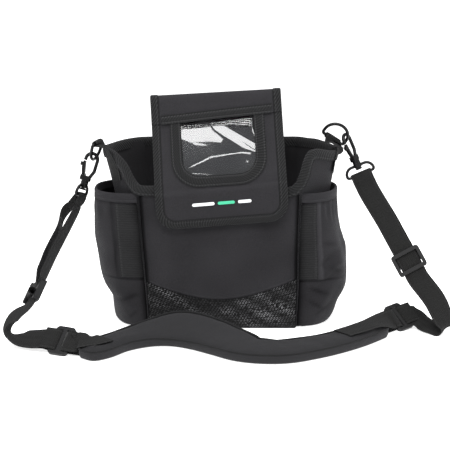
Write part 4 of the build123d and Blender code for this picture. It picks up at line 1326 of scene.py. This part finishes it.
# webbing tabs sewn on the pad's ends; the left one: (centre, width direction)
LEFT_TAB = (
    ((-150.0, -163.5, 15.4), (0.12, 0.85, 0.5)), ((-141.0, -166.5, 16.0), (0.0, 0.98, 0.2)),
    ((-131.0, -164.5, 16.4), (-0.35, 0.93, 0.08)), ((-123.0, -156.5, 16.6), (-0.62, 0.78, 0.06)),
)
for key in "lr":
    centre, along, across, up = PAD_LOOPS[key]
    bar = centre + along * BAR_OFFSET
    path = [bar + along * 17 - up * 2.2, bar + along * 8 - up * 2.4]
    path += round_bar(bar, -along, up) + [bar + along * 7 + up * 3.0]
    widths = [across] * len(path)
    if key == "l":
        for spot, spot_across in LEFT_TAB:
            path.append(spot)
            widths.append(facing(unit(spot_across), across))
    else:
        turn = np.sign(np.dot(pad_across[-9], across))
        for k in (-9, -15, -21):
            path.append(pad_mid[k] + pad_up[k] * 14.2)
            widths.append(unit(pad_across[k] * turn))
    ob = webbing("pad_tab_skin_" + key, catmull(path, 3), unit(catmull(widths, 3)), half=12.4,
                 thick=1.1, cols=9)
    own(ob, "strap", "webbing", "pad_tab_" + key)

# ------------------------------------------------------------------ hard parts, in CAD shape
for node, ob in frame["nodes"].items():
    if ob.hide_render or ob.type != "MESH":
        continue
    moulded = node.startswith(("slider", "pad_loop"))
    mat = "plastic" if moulded else "steel" if node.startswith("gate_spring") else "metal"
    ob.data.materials.clear()
    ob.data.materials.append(MATERIALS[mat])
    if moulded:
        bevel = ob.modifiers.new("soft_edges", "BEVEL")
        bevel.width = 0.7 * MM
        bevel.segments = 2
        bevel.limit_method = "ANGLE"
        bevel.angle_limit = math.radians(40)

# ------------------------------------------------------------------ stage, in metres
scene = bpy.context.scene
scene.view_settings.view_transform = "Standard"


def build_floor():
    bpy.ops.mesh.primitive_plane_add(size=160, location=(0, 60, 0))
    floor = bpy.context.object
    floor.name = "floor"
    material = bpy.data.materials.new("pale_floor")
    material.use_nodes = True
    inputs = find_node(material.node_tree, "BSDF_PRINCIPLED").inputs
    inputs["Base Color"].default_value = (0.9, 0.9, 0.9, 1)
    inputs["Emission Color"].default_value = (1, 1, 1, 1)
    inputs["Emission Strength"].default_value = 0.72
    inputs["Roughness"].default_value = 0.95
    floor.data.materials.append(material)
    floor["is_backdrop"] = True


def build_world():
    """White to the camera, dimmer as a light."""
    world = bpy.data.worlds.new("studio")
    scene.world = world
    world.use_nodes = True
    tree = world.node_tree
    colour, strength = find_node(tree, "BACKGROUND").inputs[:2]
    colour.default_value = (1, 1, 1, 1)
    strength.default_value = 1.0
    rays = tree.nodes.new("ShaderNodeLightPath")
    level = tree.nodes.new("ShaderNodeMapRange")
    level.inputs["To Min"].default_value = 0.55
    level.inputs["To Max"].default_value = 1.0
    tree.links.new(rays.outputs["Is Camera Ray"], level.inputs["Value"])
    tree.links.new(level.outputs["Result"], strength)


def aim(ob, target):
    ob.rotation_euler = (Vector(target) - ob.location).to_track_quat("-Z", "Y").to_euler()


def area(name, location, target, size, power):
    """Rectangular light; size is its width and height, power is in watts."""
    light = bpy.data.lights.new(name, "AREA")
    light.shape = "RECTANGLE"
    light.size, light.size_y = size
    light.energy = power
    ob = bpy.data.objects.new(name, light)
    ob.location = location
    aim(ob, target)
    bpy.context.collection.objects.link(ob)
    ob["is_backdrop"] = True


def build_camera():
    data = bpy.data.cameras.new("camera")
    data.lens = 100
    data.sensor_width = 36
    camera = bpy.data.objects.new("camera", data)
    target = Vector((0.0045, -0.062, 0.120))
    elevation, distance = math.radians(11), 1.4
    away = Vector((0, -math.cos(elevation), math.sin(elevation)))
    camera.location = target + away * distance
    aim(camera, target)
    bpy.context.collection.objects.link(camera)
    scene.camera = camera


build_floor()
build_world()
area("overhead", location=(0.1, -0.3, 1.9), target=(0, 0, 0.1), size=(1.6, 1.2), power=32)
area("window_box", location=(-0.15, -1.50, 1.72), target=(0, -0.05, 0.22), size=(1.5, 0.70),
     power=36)
area("right_fill", location=(1.5, -0.7, 0.8), target=(0, 0, 0.1), size=(0.8, 0.8), power=7)
area("left_fill", location=(-1.6, -0.6, 0.7), target=(0, 0, 0.1), size=(0.8, 0.8), power=4)
build_camera()


def plain(v):
    if isinstance(v, dict):
        return {k: plain(x) for k, x in v.items()}
    if isinstance(v, (list, tuple, Vector)):
        return [plain(x) for x in v]
    return float(v)


{"cad": plain(CAD_BOX), "visual": plain(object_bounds())}
